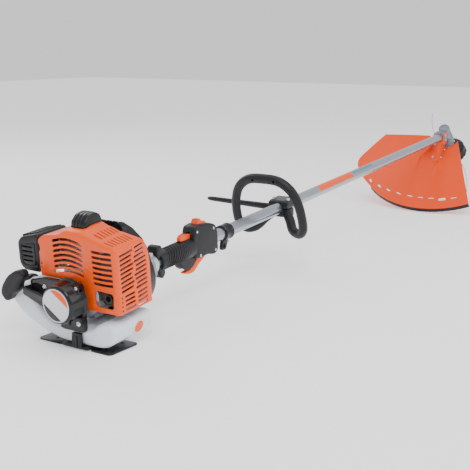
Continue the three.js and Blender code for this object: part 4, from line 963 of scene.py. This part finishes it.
def clutch_housing():
    low, high = tool_box("clutch_housing")
    outside = [(low.x, 40), (low.x, 50), (low.x + 3, 51), (221, 48.5), (246, 33), (258, 24), (262, 20.5),
               (high.x - 1, 20), (high.x, 19), (high.x, 14.4), (249, 14.4), (236, 10), (226, 20), (214, 42)]
    cone = lathe("clutch_cone", outside, steps=72, ring=True)
    for k in range(8):
        angle = math.tau * k / 8 + 0.2
        turn = Matrix.Rotation(angle, 4, "X")
        web = prism("web", [(low.x + 0.5, 46), (low.x + 0.5, 50.6), (224, 49.5), (247, 36), (259, 25.5),
                            (259, 22),
                            (240, 30)], "Y", -1.5, 1.5, turn)
        unite(cone, web)
    slit = block("slit", 262, high.x + 1, -0.8, 0.8, 10, 24)
    lug = pillow("lug", rounded([(-7, 15), (7, 15), (7, 24.5), (-7, 24.5)], 2), "X", 264, high.x - 1.5, 1,
                 steps=2)
    unite(cone, lug)
    cut(cone, slit, rod("clear", 14.4, (249, 0, 0), (290, 0, 0), 48))
    finished(cone, "body", ALLOY, bevel=0.6, replaces=["clutch_housing"])


fan_housing()
clutch_housing()
fasteners("clutch_screws", [((219.5, 42 * math.cos(a), 42 * math.sin(a)), (1, 0, 0.2))
                            for a in (math.radians(45 + 90 * k) for k in range(4))], "body", radius=3.2)


# ---- control handle -----------------------------------------------------------------------------------

GRIP_LOW, GRIP_HIGH = tool_box("control_handle")


def tilted_ring(name, station, radius, tilt, thick, sides=48):
    """A raised rib that runs round a bar at a slant."""
    loops = []
    for i in range(sides):
        a = math.tau * i / sides
        out = Vector((0, math.cos(a), math.sin(a)))
        centre = out * radius + Vector((station + radius * math.sin(a) * tilt, 0, 0))
        loops.append([centre + out * (thick * math.cos(b)) + Vector((thick * 1.3 * math.sin(b), 0, 0))
                      for b in (math.tau * k / 8 for k in range(8))])
    return loft(name, loops, ring=True)


def control_handle():
    rear, front = GRIP_LOW.x + 2, GRIP_HIGH.x
    case = rounded([(398, 24), (405, 45), (424, 47), (466, 40), (480, 33), (front, 16), (front, -24),
                    (476, -32),
                    (462, -30), (450, -26), (412, -26), (398, -22)], 6, 4)
    body = pillow("rear_grip", case, "Y", -17.5, 17.5, 4, steps=4)
    barrel = lathe("barrel", [(288, 0), (288, 20), (291, 21.4), (318, 20.2), (360, 21), (392, 22.6),
                              (400, 22), (400, 0)],
                   steps=56)
    flange = pillow("flange", rounded([(rear, 36), (294, 36), (302, -27), (292, -36), (284, -30),
                                       (276.5, 20)], 5),
                    "Y", -13, 13, 3)
    hump = pillow("hump", rounded([(354, -14), (361, -34), (374, -42), (394, -43), (406, -37), (407, -16)],
                                  5), "Y",
                  -10, 10, 2.5)
    unite(body, barrel, flange, hump)
    cut(body, rod("bore", 14.3, (260, 0, 0), (500, 0, 0), 48),
        prism("trigger_slot", [(362, -60), (366, -24), (388, -17), (457, -15.5), (459, -60)], "Y", -6.6,
              6.6),
        block("lock_slot", 361, 427, -5.6, 5.6, 15.4, 34), block("switch_slot", 421.5, 464.5, -9.6, 9.6, 35,
                                                                 60),
        groove_round(case, "Y", 0))
    finished(body, "body", GRIP, bevel=0.6, replaces=["control_handle"])
    ribs = [tilted_ring("rib", 306 + 8.2 * k, 20.7 + 0.006 * (k * 8), 0.55, 1.1) for k in range(10)]
    finished(gathered("grip_ribs", ribs), "body", GRIP, bevel=0)
    fasteners("grip_screws", [((x, -17.2, z), (0, -1, 0)) for x, z in ((410, 34), (470, 28), (474, -22),
                                                                       (418, -20))],
              "body", radius=2.4, height=1.6)


def trigger_group():
    pull = rounded([(450, -16.5), (455, -24), (448, -33), (426, -43), (408, -55), (392, -56), (374, -51),
                    (372, -47), (394, -46), (408, -40), (418, -29), (436, -18)], 4)
    lever = pillow("throttle_lever", pull, "Y", -6, 6, 1.6, steps=4)
    for x, z in ((388, -55), (397, -56.5), (406, -55)):
        cut(lever, rod("ridge", 1.4, (x, -10, z), (x, 10, z), 12))
    finished(lever, "trigger", ORANGE, bevel=0.3, replaces=["throttle_trigger"])
    lock = pillow("safety_bar", rounded([(365, 22), (366, 31), (375, 35), (397, 31), (410, 29), (424, 28),
                                         (425, 19.5),
                                         (410, 18.5)], 2.5), "Y", -5, 5, 1.2)
    for k in range(4):
        unite(lock, rod("ridge", 0.8, (371 + 3.2 * k, -4, 33.6 + 0.5 * k),
                        (371 + 3.2 * k, 4, 33.6 + 0.5 * k), 10))
    finished(lock, "lockout", ORANGE, bevel=0.3, replaces=["throttle_lockout"])
    knob = pillow("run_switch", rounded([(422, 36), (423, 50), (428, 56), (436, 55), (440, 48), (444, 49),
                                         (452, 48),
                                         (456, 42), (456, 36)], 3), "Y", -9, 9, 1.6)
    for k in range(4):
        x = 427 + 3.4 * k
        unite(knob, rod("ridge", 0.9, (x, -7.5, 55.6 - 0.25 * k), (x, 7.5, 55.6 - 0.25 * k), 10))
    finished(knob, "stop", ORANGE, bevel=0.3, replaces=["stop_switch"])


def throttle_cable():
    low = tool_box("throttle_cable")[0]
    route = [(273.5, 12, 25), (264, 22, 32), (244, 44, 46), (216, 64, 58), (180, 74, 64), (146, 76, 66),
             (128, 73, 69),
             (low.x, 72, 69)]
    cable = pipe("throttle_line", route, 2.7, sides=16, steps=70)
    nut = rod("nut", 4.2, (low.x + 3, 72.2, 69), (low.x + 14, 72.8, 69), 6)
    unite(cable, nut)
    finished(cable, "body", RUBBER, bevel=0, replaces=["throttle_cable"])


control_handle()
trigger_group()
throttle_cable()


# ---- tube, harness clamp, loop handle and bar ---------------------------------------------------------

TUBE_LOW, TUBE_HIGH = tool_box("shaft_tube")
TUBE_RADIUS = TUBE_HIGH.z


def shaft_tube():
    x0, x1 = TUBE_LOW.x, TUBE_HIGH.x
    inner = TUBE_RADIUS - 1.5
    tube = lathe("main_tube", [(x0, inner), (x0, TUBE_RADIUS - 0.4), (x0 + 0.4, TUBE_RADIUS),
                               (x1 - 0.4, TUBE_RADIUS),
                               (x1, TUBE_RADIUS - 0.4), (x1, inner)], steps=72, ring=True)
    finished(tube, "body", TUBE, bevel=0, replaces=["shaft_tube"])


def wrapped(name, x0, x1, start, end, look):
    """A thin sticker bent round the tube between two angles, measured from the left over the top."""
    steps = 16
    angles = [math.radians(start + (end - start) * k / steps) for k in range(steps + 1)]
    rim = [((TUBE_RADIUS + 0.16) * math.cos(a), (TUBE_RADIUS + 0.16) * math.sin(a)) for a in angles]
    rim += [((TUBE_RADIUS + 0.02) * math.cos(a),
             (TUBE_RADIUS + 0.02) * math.sin(a)) for a in reversed(angles)]
    finished(prism(name, rim, "X", x0, x1), "body", look, bevel=0)


def harness_clamp():
    x1 = tool_box("harness_clamp")[1].x
    x0 = x1 - 30
    band = lathe("harness_band", [(x0, 14.3), (x0, 17.6), (x0 + 1.2, 18.5), (x0 + 5, 18.5), (x0 + 6, 17.9),
                                  (x1 - 6, 17.9), (x1 - 5, 18.5), (x1 - 1.2, 18.5), (x1, 17.6), (x1, 14.3)],
                 steps=56, ring=True)
    lug = pillow("lug", rounded([(x0 + 2, -15.5), (x0 - 4, -38), (x0 + 14, -40), (x1 - 4, -15.5)], 5), "Y",
                 -4, 4, 1.4)
    unite(band, lug)
    cut(band, rod("eye", 5.5, (x0 + 6, -10, -29), (x0 + 6, 10, -29), 32),
        rod("bore", 14.3, (490, 0, 0), (570, 0, 0), 56))
    finished(band, "body", BLACK, bevel=0.4, replaces=["harness_clamp"])
    fasteners("harness_screw", [((x1 - 9, -4, -23), (0, -1, 0)), ((x1 - 9, 4, -23), (0, 1, 0))], "body",
              radius=3)


LOOP_X = 785.0  # station of the loop handle's feet
LOOP_HALF = 92.0
LOOP_TOP = 98.0
BORE = 14.3


def loop_handle():
    x, half = LOOP_X, LOOP_HALF
    left = [(x - 6, 20, -12), (x - 19, 36, -27), (x - 34, 52, -45), (x - 43, half - 18, -50),
            (x - 51, half - 3, -36),
            (x - 59, half, -8), (x - 67, half - 5, 30), (x - 73, half - 20, LOOP_TOP - 36),
            (x - 77, half - 50, LOOP_TOP - 15)]
    right = [(px, -y, z) for px, y, z in reversed(left)]
    path = left + [(x - 78, 0, LOOP_TOP - 11)] + right
    arch = pipe("loop_grip", path, lambda t: 11.5 + 0.5 * math.cos(t * math.tau * 2), sides=24, steps=96,
                up=(1, 0, 0.2))
    saddle = pillow("saddle", [(x - 15, -27), (x + 15, -27), (x + 15, 27), (x - 15, 27)], "Z", -22, -0.3, 4)
    unite(arch, saddle)
    cut(arch, rod("bore", BORE, (650, 0, 0), (880, 0, 0), 48), block("seat", x - 16, x + 16, -29, 29, -0.3,
                                                                     26))
    for y in (24, -34):
        cut(arch, rod("screw_hole", 3.2, (x - 92, y, LOOP_TOP - 14), (x - 83, y, LOOP_TOP - 14), 24))
    finished(arch, "body", GRIP, bevel=0.5, replaces=["loop_handle"])


BAR_LOW, BAR_HIGH = tool_box("barrier_bar")
BAR_ROOT = Vector(((BAR_LOW.x + BAR_HIGH.x) / 2, 19, -10.5))
BAR_TIP = Vector((BAR_ROOT.x, BAR_HIGH.y, -6))


def loop_clamp():
    x0, x1 = LOOP_X - 17, LOOP_X + 41
    clamp = pillow("clamp_block", rounded([(x0, 0.3), (x0, 14), (x0 + 6, 19), (x1 - 8, 21), (x1, 15),
                                           (x1, 0.3)], 5),
                   "Y", -27, 27, 2.5)
    boss = rod("boss", 11.5, (BAR_ROOT.x, 16, -10.5), (BAR_ROOT.x, 36, -10.5), 40)
    shoulder = pillow("shoulder", [(BAR_ROOT.x - 11, -10.5), (x1, -10.5), (x1, 14), (BAR_ROOT.x - 11, 14)],
                      "Y", 16, 33,
                      2)
    unite(clamp, boss, shoulder)
    cut(clamp, rod("bore", BORE, (650, 0, 0), (880, 0, 0), 48),
        rod("socket", 8.9, BAR_ROOT, (BAR_ROOT.x, 60, -10.5), 32), prism("seam",
                                                                         [(x0 - 1, 9.4), (x1 + 1, 9.4),
                                                                          (x1 + 1, 10),
                                                                                 (x0 - 1, 10)], "Y", -30,
                                                                         -26.2))
    for y in (20, -20):
        cut(clamp, rod("well", 6.3, (LOOP_X, y, 15), (LOOP_X, y, 40), 32),
            rod("way", 2.9, (LOOP_X, y, -5), (LOOP_X, y, 20)))
    finished(clamp, "body", BLACK, bevel=0.5, replaces=["loop_clamp"])


def barrier_bar():
    span = (BAR_TIP - BAR_ROOT).length
    path = [BAR_ROOT.lerp(BAR_TIP, t) for t in (0.004, 0.02, 0.08, 0.11, 0.13, 0.3, 0.5, 0.7, 0.9, 0.955,
                                                0.98, 0.993, 1)]
    size = [6.5, 7.5, 7.5, 8.3, 8.5, 8.0, 7.3, 6.7, 6.2, 5.6, 4.6, 3.2, 1.2]
    loops = []
    along = (BAR_TIP - BAR_ROOT) / span
    side = along.cross(Vector((1, 0, 0))).normalized()
    for here, radius in zip(path, size):
        loops.append([here + Vector((1, 0, 0)) * p[0] + side * p[1] for p in circle(radius, steps=32)])
    finished(loft("side_bar", loops), "body", BLACK, bevel=0, replaces=["barrier_bar"])


shaft_tube()
wrapped("tube_sticker_orange", 967, 1158, 10, 170, ORANGE)
for start, end in ((1165, 1204), (1209, 1232), (1237, 1290)):
    wrapped(f"tube_sticker_{start}", start, end, 95, 140, BLUE_GREY)
harness_clamp()
loop_handle()
loop_clamp()
barrier_bar()


# ---- gear head ----------------------------------------------------------------------------------------

HEAD_IN_TOOL = TOOL.inverted() @ HEAD
TUBE_IN_HEAD = (HEAD_IN_TOOL.inverted().to_3x3() @ Vector((1, 0, 0))).normalized()


def from_head(x, z):
    """A point of the head frame, given forward and up, as X and Z of the tool frame."""
    p = HEAD_IN_TOOL @ Vector((x, 0, z))
    return (p.x, p.z)


def neck_rod(name, radius, near, far, sides=48):
    return rod(name, radius, TUBE_IN_HEAD * near, TUBE_IN_HEAD * far, sides)


def gear_case():
    case = lathe("gear_housing", [(-40, 0), (-40, 22.6), (-38.6, 24), (-34, 24.4), (-30, 24), (-20, 25),
                                  (-8, 23.6),
                                  (4, 21), (16, 19.4), (25, 18.6), (26, 17.6), (27, 17.4), (28, 18),
                                  (31, 18),
                                  (33, 17.2), (36, 14.6), (36.6, 13), (36.6, 10.5), (35.2, 9.8), (35.2, 0)],
                 "Z", 64)
    neck = neck_rod("neck", 20.2, -57.8, -4)
    collar = neck_rod("collar", 22.4, -57.9, -48)
    swell = neck_rod("swell", 21.2, -34, -6)
    lug = pillow("lug", rounded([(-4, 15), (10, 15), (10, 27), (-4, 27)], 3), "Z", -14, 2, 1.5)
    web = prism("web", [(-30, -26), (-22, 12), (-8, 24), (4, 10), (0, -30)], "Y", -2, 2)
    unite(case, neck, collar, swell, lug, web)
    for side in (1, -1):
        ear = pillow("ear", rounded([(-9, 17 * side), (9, 17 * side), (5, 26.5 * side), (-5, 26.5 * side)],
                                    3), "Z",
                     -30, -18, 1.5)
        unite(case, ear)
    cut(case, neck_rod("way", 14.3, -70, -33.6), neck_rod("shaft_way", 11, -36, -8),
        lathe("room", [(-41, 0), (-41, 14), (-6, 14), (2, 15.3), (31.6, 15.3), (31.6, 0)], "Z", 48))
    finished(case, "body", HEAD_PAINT, bevel=0.7, replaces=["gear_case"], frame_of=HEAD)
    across = TUBE_IN_HEAD.cross(Vector((0, 1, 0)))
    bolts = [(TUBE_IN_HEAD * -53 + across * 8 * s + Vector((0, -21, 0)), (0, -1, 0)) for s in (1, -1)]
    bolts += [((0, -26.2, -24), (0, -1, 0)), ((3, 26.8, -6), (0, 1, 0))]
    fasteners("case_bolts", bolts, "body", frame_of=HEAD, radius=2.8)


def guard_bracket():
    x1 = tool_box("guard_bracket")[1].x
    pad = 0.3 - 25.0
    front, rear = from_head(-50, pad), from_head(-108, pad)
    outline = [(x1 - 26, 17), (x1, 17), (x1, -26), front, rear, (x1 - 34, -26)]
    arm = pillow("guard_arm", outline, "Y", -18, 18, 2.2)
    collar = lathe("collar", [(x1 - 26, 0), (x1 - 26, 17.6), (x1 - 24.6, 19), (x1 - 1.4, 19), (x1, 17.6),
                              (x1, 0)],
                   steps=48)
    unite(arm, collar)
    cut(arm, rod("bore", 14.4, (x1 - 90, 0, 0), (x1 + 10, 0, 0), 48))
    foot_rear, foot_front = from_head(-104, pad + 9), from_head(-42, pad + 9)
    window = [(x1 - 60, -21), (x1 + 20, -21), foot_front, foot_rear]
    for y0, y1 in ((10, 30), (-30, -10)):
        cut(arm, prism("waist", window, "Y", y0, y1))
    mid_rear, mid_front = from_head(-86, pad + 12), from_head(-62, pad + 12)
    cut(arm, prism("gap", [(x1 - 30, -24), (x1 - 6, -24), mid_front, mid_rear], "Y", -5, 5))
    cut(arm, block("split", x1 - 40, x1 + 5, -0.7, 0.7, 12, 20))
    for y in (7.5, -7.5):
        unite(arm, prism("rib", [(x1 - 29, -18), (x1 - 35, -26), from_head(-106, pad + 6),
                                 from_head(-96, pad + 6)], "Y",
                         y - 1.2, y + 1.2))
    finished(arm, "body", GUARD, bevel=0.5, replaces=["guard_bracket"])
    up = Vector((from_head(0, 1)[0] - from_head(0, 0)[0], 0, from_head(0, 1)[1] - from_head(0, 0)[1]))
    seats = []
    for along, y in ((-98, 14), (-98, -14), (-58, 14), (-58, -14)):
        x, z = from_head(along, pad + 8.9)
        seats.append(((x, y, z), up))
    seats += [((x1 - 13, -17.8, 4), (0, -1, 0)), ((x1 - 13, 17.8, 4), (0, 1, 0))]
    fasteners("bracket_screws", seats, "body", radius=3)


gear_case()
guard_bracket()


# ---- guard --------------------------------------------------------------------------------------------

GUARD_RADIUS = 303.0
GUARD_WALL = 3.0
SKIRT_DEPTH = 77.0
SKIRT_HEIGHT = 13.0
SKIRT_LEFT = math.radians(-43)
SKIRT_RIGHT = math.radians(31)
PAD_DEPTH = 25.0
FLAT_REACH = 112.0
GUARD_CORNER = (-11, -230)
FALL_START = math.radians(-62)
CUTTER_ANGLE = 14.5
POCKET = [(198, -56), (96, -60), (50, -36), (20, -44), (20, 30), (60, 18), (126, 8), (186, 8)]


def pocket_depth(u, v):
    """How far inside the bracket's pocket a place lies, in millimetres. Outside it is below zero."""
    nearest = 1e9
    inside = False
    for (u0, v0), (u1, v1) in zip(POCKET, POCKET[1:] + POCKET[:1]):
        du, dv = u1 - u0, v1 - v0
        t = min(1, max(0, ((u - u0) * du + (v - v0) * dv) / (du * du + dv * dv)))
        nearest = min(nearest, math.hypot(u - u0 - du * t, v - v0 - dv * t))
        if (v0 > v) != (v1 > v) and u < u0 + (v - v0) / (v1 - v0) * du:
            inside = not inside
    return nearest if inside else -nearest


def guard_depth(u, v):
    """Depth of the guard's upper face, with its sides raised over the bracket's pocket."""
    radius = math.hypot(u, v)
    angle = math.atan2(v, u)
    corner = math.atan2(GUARD_CORNER[1], GUARD_CORNER[0])
    side = 1 - 0.84 * min(1, max(0, (FALL_START - angle) / (FALL_START - corner)))
    reach = max(0, (radius - FLAT_REACH) / (GUARD_RADIUS - FLAT_REACH))
    depth = PAD_DEPTH + (SKIRT_DEPTH - SKIRT_HEIGHT - PAD_DEPTH - GUARD_WALL) * side * reach ** 1.3
    out = min(1, max(0, (1.8 - pocket_depth(u, v)) / 3.6))
    fade = max(0, 1 - max(0, u) / 200) * min(1, max(0, (radius - 30) / 26)) * max(0, 1 - radius / 330)
    return depth - 21 * out * out * (3 - 2 * out) * fade


def guard_rim():
    """The outer edge runs round the skirt's arc, out to the left lobe and on to the front left corner."""
    turns = [SKIRT_RIGHT + (SKIRT_LEFT - SKIRT_RIGHT) * i / 8 for i in range(9)]
    arc = [(GUARD_RADIUS * math.cos(a), GUARD_RADIUS * math.sin(a), 0) for a in turns]
    lobe = [(180, -252, 0), (140, -285, 0), (118, -298, 0), (92, -298, 0), (45, -267, 0), (*GUARD_CORNER, 0)]
    return arc + lobe


def guard_shell():
    across, out = 150, 64
    neck = smooth_path([(11, 46, 0), (30, 30, 0), (36, -6, 0), (24, -36, 0), (-2, -57, 0)], across)
    rim = smooth_path(guard_rim(), across)
    points = []
    for inner, outer in zip(neck, rim):
        for j in range(out + 1):
            place = inner.lerp(outer, j / out)
            bead = 1.0 if j >= out - 1 else 0.0
            depth = guard_depth(place.x, place.y) - bead
            points.append((-place.x, -place.y, -depth))
    count = len(points)
    points += [(x, y, z - GUARD_WALL) for x, y, z in points]
    row = out + 1
    faces = []
    for i in range(across):
        for j in range(out):
            a = i * row + j
            faces.append((a, a + 1, a + row + 1, a + row))
            faces.append((count + a, count + a + row, count + a + row + 1, count + a + 1))
    edge = [i * row for i in range(across + 1)] + [across * row + j for j in range(1, row)]
    edge += [i * row + out for i in range(across - 1, -1, -1)] + list(range(out - 1, 0, -1))
    for a, b in zip(edge, edge[1:] + edge[:1]):
        faces.append((a, b, count + b, count + a))
    return solid("debris_guard", points, faces)


def guard():
    shell = guard_shell()

    def opening(degrees, depth, half):
        r = GUARD_RADIUS - 44 + 30 * (degrees / 48) ** 2
        turn = Matrix.Rotation(math.radians(degrees), 4, "Z")
        edge = rounded([(-r - depth, -half), (-r, -half), (-r, half), (-r - depth, half)],
                       min(depth, half) * 0.4, 3)
        return prism("opening", edge, "Z", -90, 0, turn)

    cut(shell, opening(CUTTER_ANGLE, 12, 12),
        *[opening(degrees, 5, 10) for degrees in (-48, -38, -29, -19.5, -10, -1.5, 6.5, 22.5)])
    finished(shell, "body", GUARD, bevel=0.5, angle=50, replaces=["guard"], frame_of=HEAD)


def guard_skirt():
    low, high = -SKIRT_DEPTH, -SKIRT_DEPTH + SKIRT_HEIGHT - 0.3
    section = [(GUARD_RADIUS, high), (GUARD_RADIUS, low + 2.4), (GUARD_RADIUS - 0.6, low + 0.6),
               (GUARD_RADIUS - 1.6, low),
               (GUARD_RADIUS - 3, low + 0.6), (GUARD_RADIUS - 3, high)]
    section = [(r + (0.6 if z < low + 3 and r > GUARD_RADIUS - 1 else 0), z) for r, z in section]
    loops = []
    for i in range(65):
        a = SKIRT_RIGHT + (SKIRT_LEFT - SKIRT_RIGHT) * i / 64
        loops.append([(-r * math.cos(a), -r * math.sin(a), z) for r, z in section])
    finished(loft("rubber_skirt", loops), "body", RUBBER, bevel=0, replaces=["guard_skirt"],
             frame_of=HEAD)


def line_cutter():
    r = GUARD_RADIUS - 3.3
    turn = Matrix.Rotation(math.radians(CUTTER_ANGLE), 4, "Z")
    plate = prism("cutting_blade", rounded([(-r + 1, -16), (-r + 16, -12), (-r + 16, 12), (-r + 1, 16)], 2),
                  "Z",
                  -SKIRT_DEPTH + 9, -SKIRT_DEPTH + 11, turn)
    edge = prism("edge", [(-r + 1, -16), (-r + 2.6, -16), (-r + 2.6, 16), (-r + 1, 16)], "Z",
                 -SKIRT_DEPTH + 3,
                 -SKIRT_DEPTH + 11, turn)
    unite(plate, edge)
    finished(plate, "body", STEEL, bevel=0.2, replaces=["line_cutter"], frame_of=HEAD)


guard()
guard_skirt()
line_cutter()


# ---- trimmer head -------------------------------------------------------------------------------------

LINE_DEPTH = -70.0
LINE_RADIUS = 1.35
EYELET_ANGLE = math.radians(52)


def trimmer_head():
    drum = knurled("cutting_head", [(-92, 44, 0), (-92, 46, 0.2), (-90, 51, 0.7), (-86, 58, 1),
                                    (-79.4, 60, 1),
                                    (-78, 58, 0.3), (-77, 56, 0), (-60, 54.6, 0), (-57, 54, 0.4),
                                    (-55, 51, 1),
                                    (-53, 47.5, 1), (-50.4, 28, 0.4), (-48.8, 16, 0)], "Z", 18, 2.2, fine=12)
    cut(drum, rod("room", 44, (0, 0, -89), (0, 0, -58), 64), rod("shaft_way", 5.3, (0, 0, -62), (0, 0, -40),
                                                                 32),
        rod("bump_hole", 24, (0, 0, -95), (0, 0, -85), 48))
    spin = Matrix.Rotation(EYELET_ANGLE, 4, "Z")
    for x0, x1 in ((40, 64), (-64, -40)):
        ends = [spin @ Vector((x, 0, LINE_DEPTH)) for x in (x0, x1)]
        cut(drum, rod("eye", 3.4, *ends, 24))
    finished(drum, "output", BLACK, bevel=0.5, replaces=["trimmer_head"], frame_of=HEAD)


def eyelets():
    """The metal rings that the line comes out through."""
    rings = []
    for side in (1, -1):
        out = Vector((math.cos(EYELET_ANGLE), math.sin(EYELET_ANGLE), 0)) * side
        across = Vector((-out.y, out.x, 0))
        loops = []
        for distance, radius in ((53, 3.2), (56.4, 3.3), (57.4, 4.6), (56.8, 5.4), (55.2, 5.2), (53, 3.9)):
            centre = out * distance + Vector((0, 0, LINE_DEPTH))
            loops.append([centre + across * p[0] + Vector((0, 0, p[1])) for p in circle(radius * 0.62,
                                                                                        steps=24)])
        rings.append(loft("ring", loops, ring=True))
    finished(gathered("line_eyelets", rings), "output", ZINC, bevel=0, frame_of=HEAD)


def trimmer_line():
    """Two stiff nylon ends that bend back a little from their eyelets."""
    ends = []
    for side in (1, -1):
        route = [(26, 56), (54, 51.5), (84, 47.5), (115, 44.5), (153, 40.5), (191, 37), (216, 34.6),
                 (239, 32.6)]
        path = [(side * r * math.cos(math.radians(a)), side * r * math.sin(math.radians(a)), LINE_DEPTH)
                for r, a in route]
        ends.append(pipe("end", path, LINE_RADIUS, sides=12, steps=48))
    coil = lathe("coil", [(-79, 21), (-79, 33), (-78, 34), (-65, 34), (-64, 33), (-64, 21)], "Z", 48,
                 ring=True)
    finished(gathered("nylon_line", [*ends, coil]), "output", NYLON, bevel=0,
             replaces=["trimmer_line"],
             frame_of=HEAD)


def bump_knob():
    knob = knurled("feed_knob", [(-102, 10, 0), (-102, 13, 0), (-101, 16, 0.5), (-97.5, 21.6, 1),
                                 (-94, 23, 1),
                                 (-91, 23.2, 0), (-90, 20, 0)], "Z", 12, 2.0, fine=12)
    finished(knob, "bump", BLACK, bevel=0.4, replaces=["bump_knob"], frame_of=HEAD)


trimmer_head()
eyelets()
trimmer_line()
bump_knob()
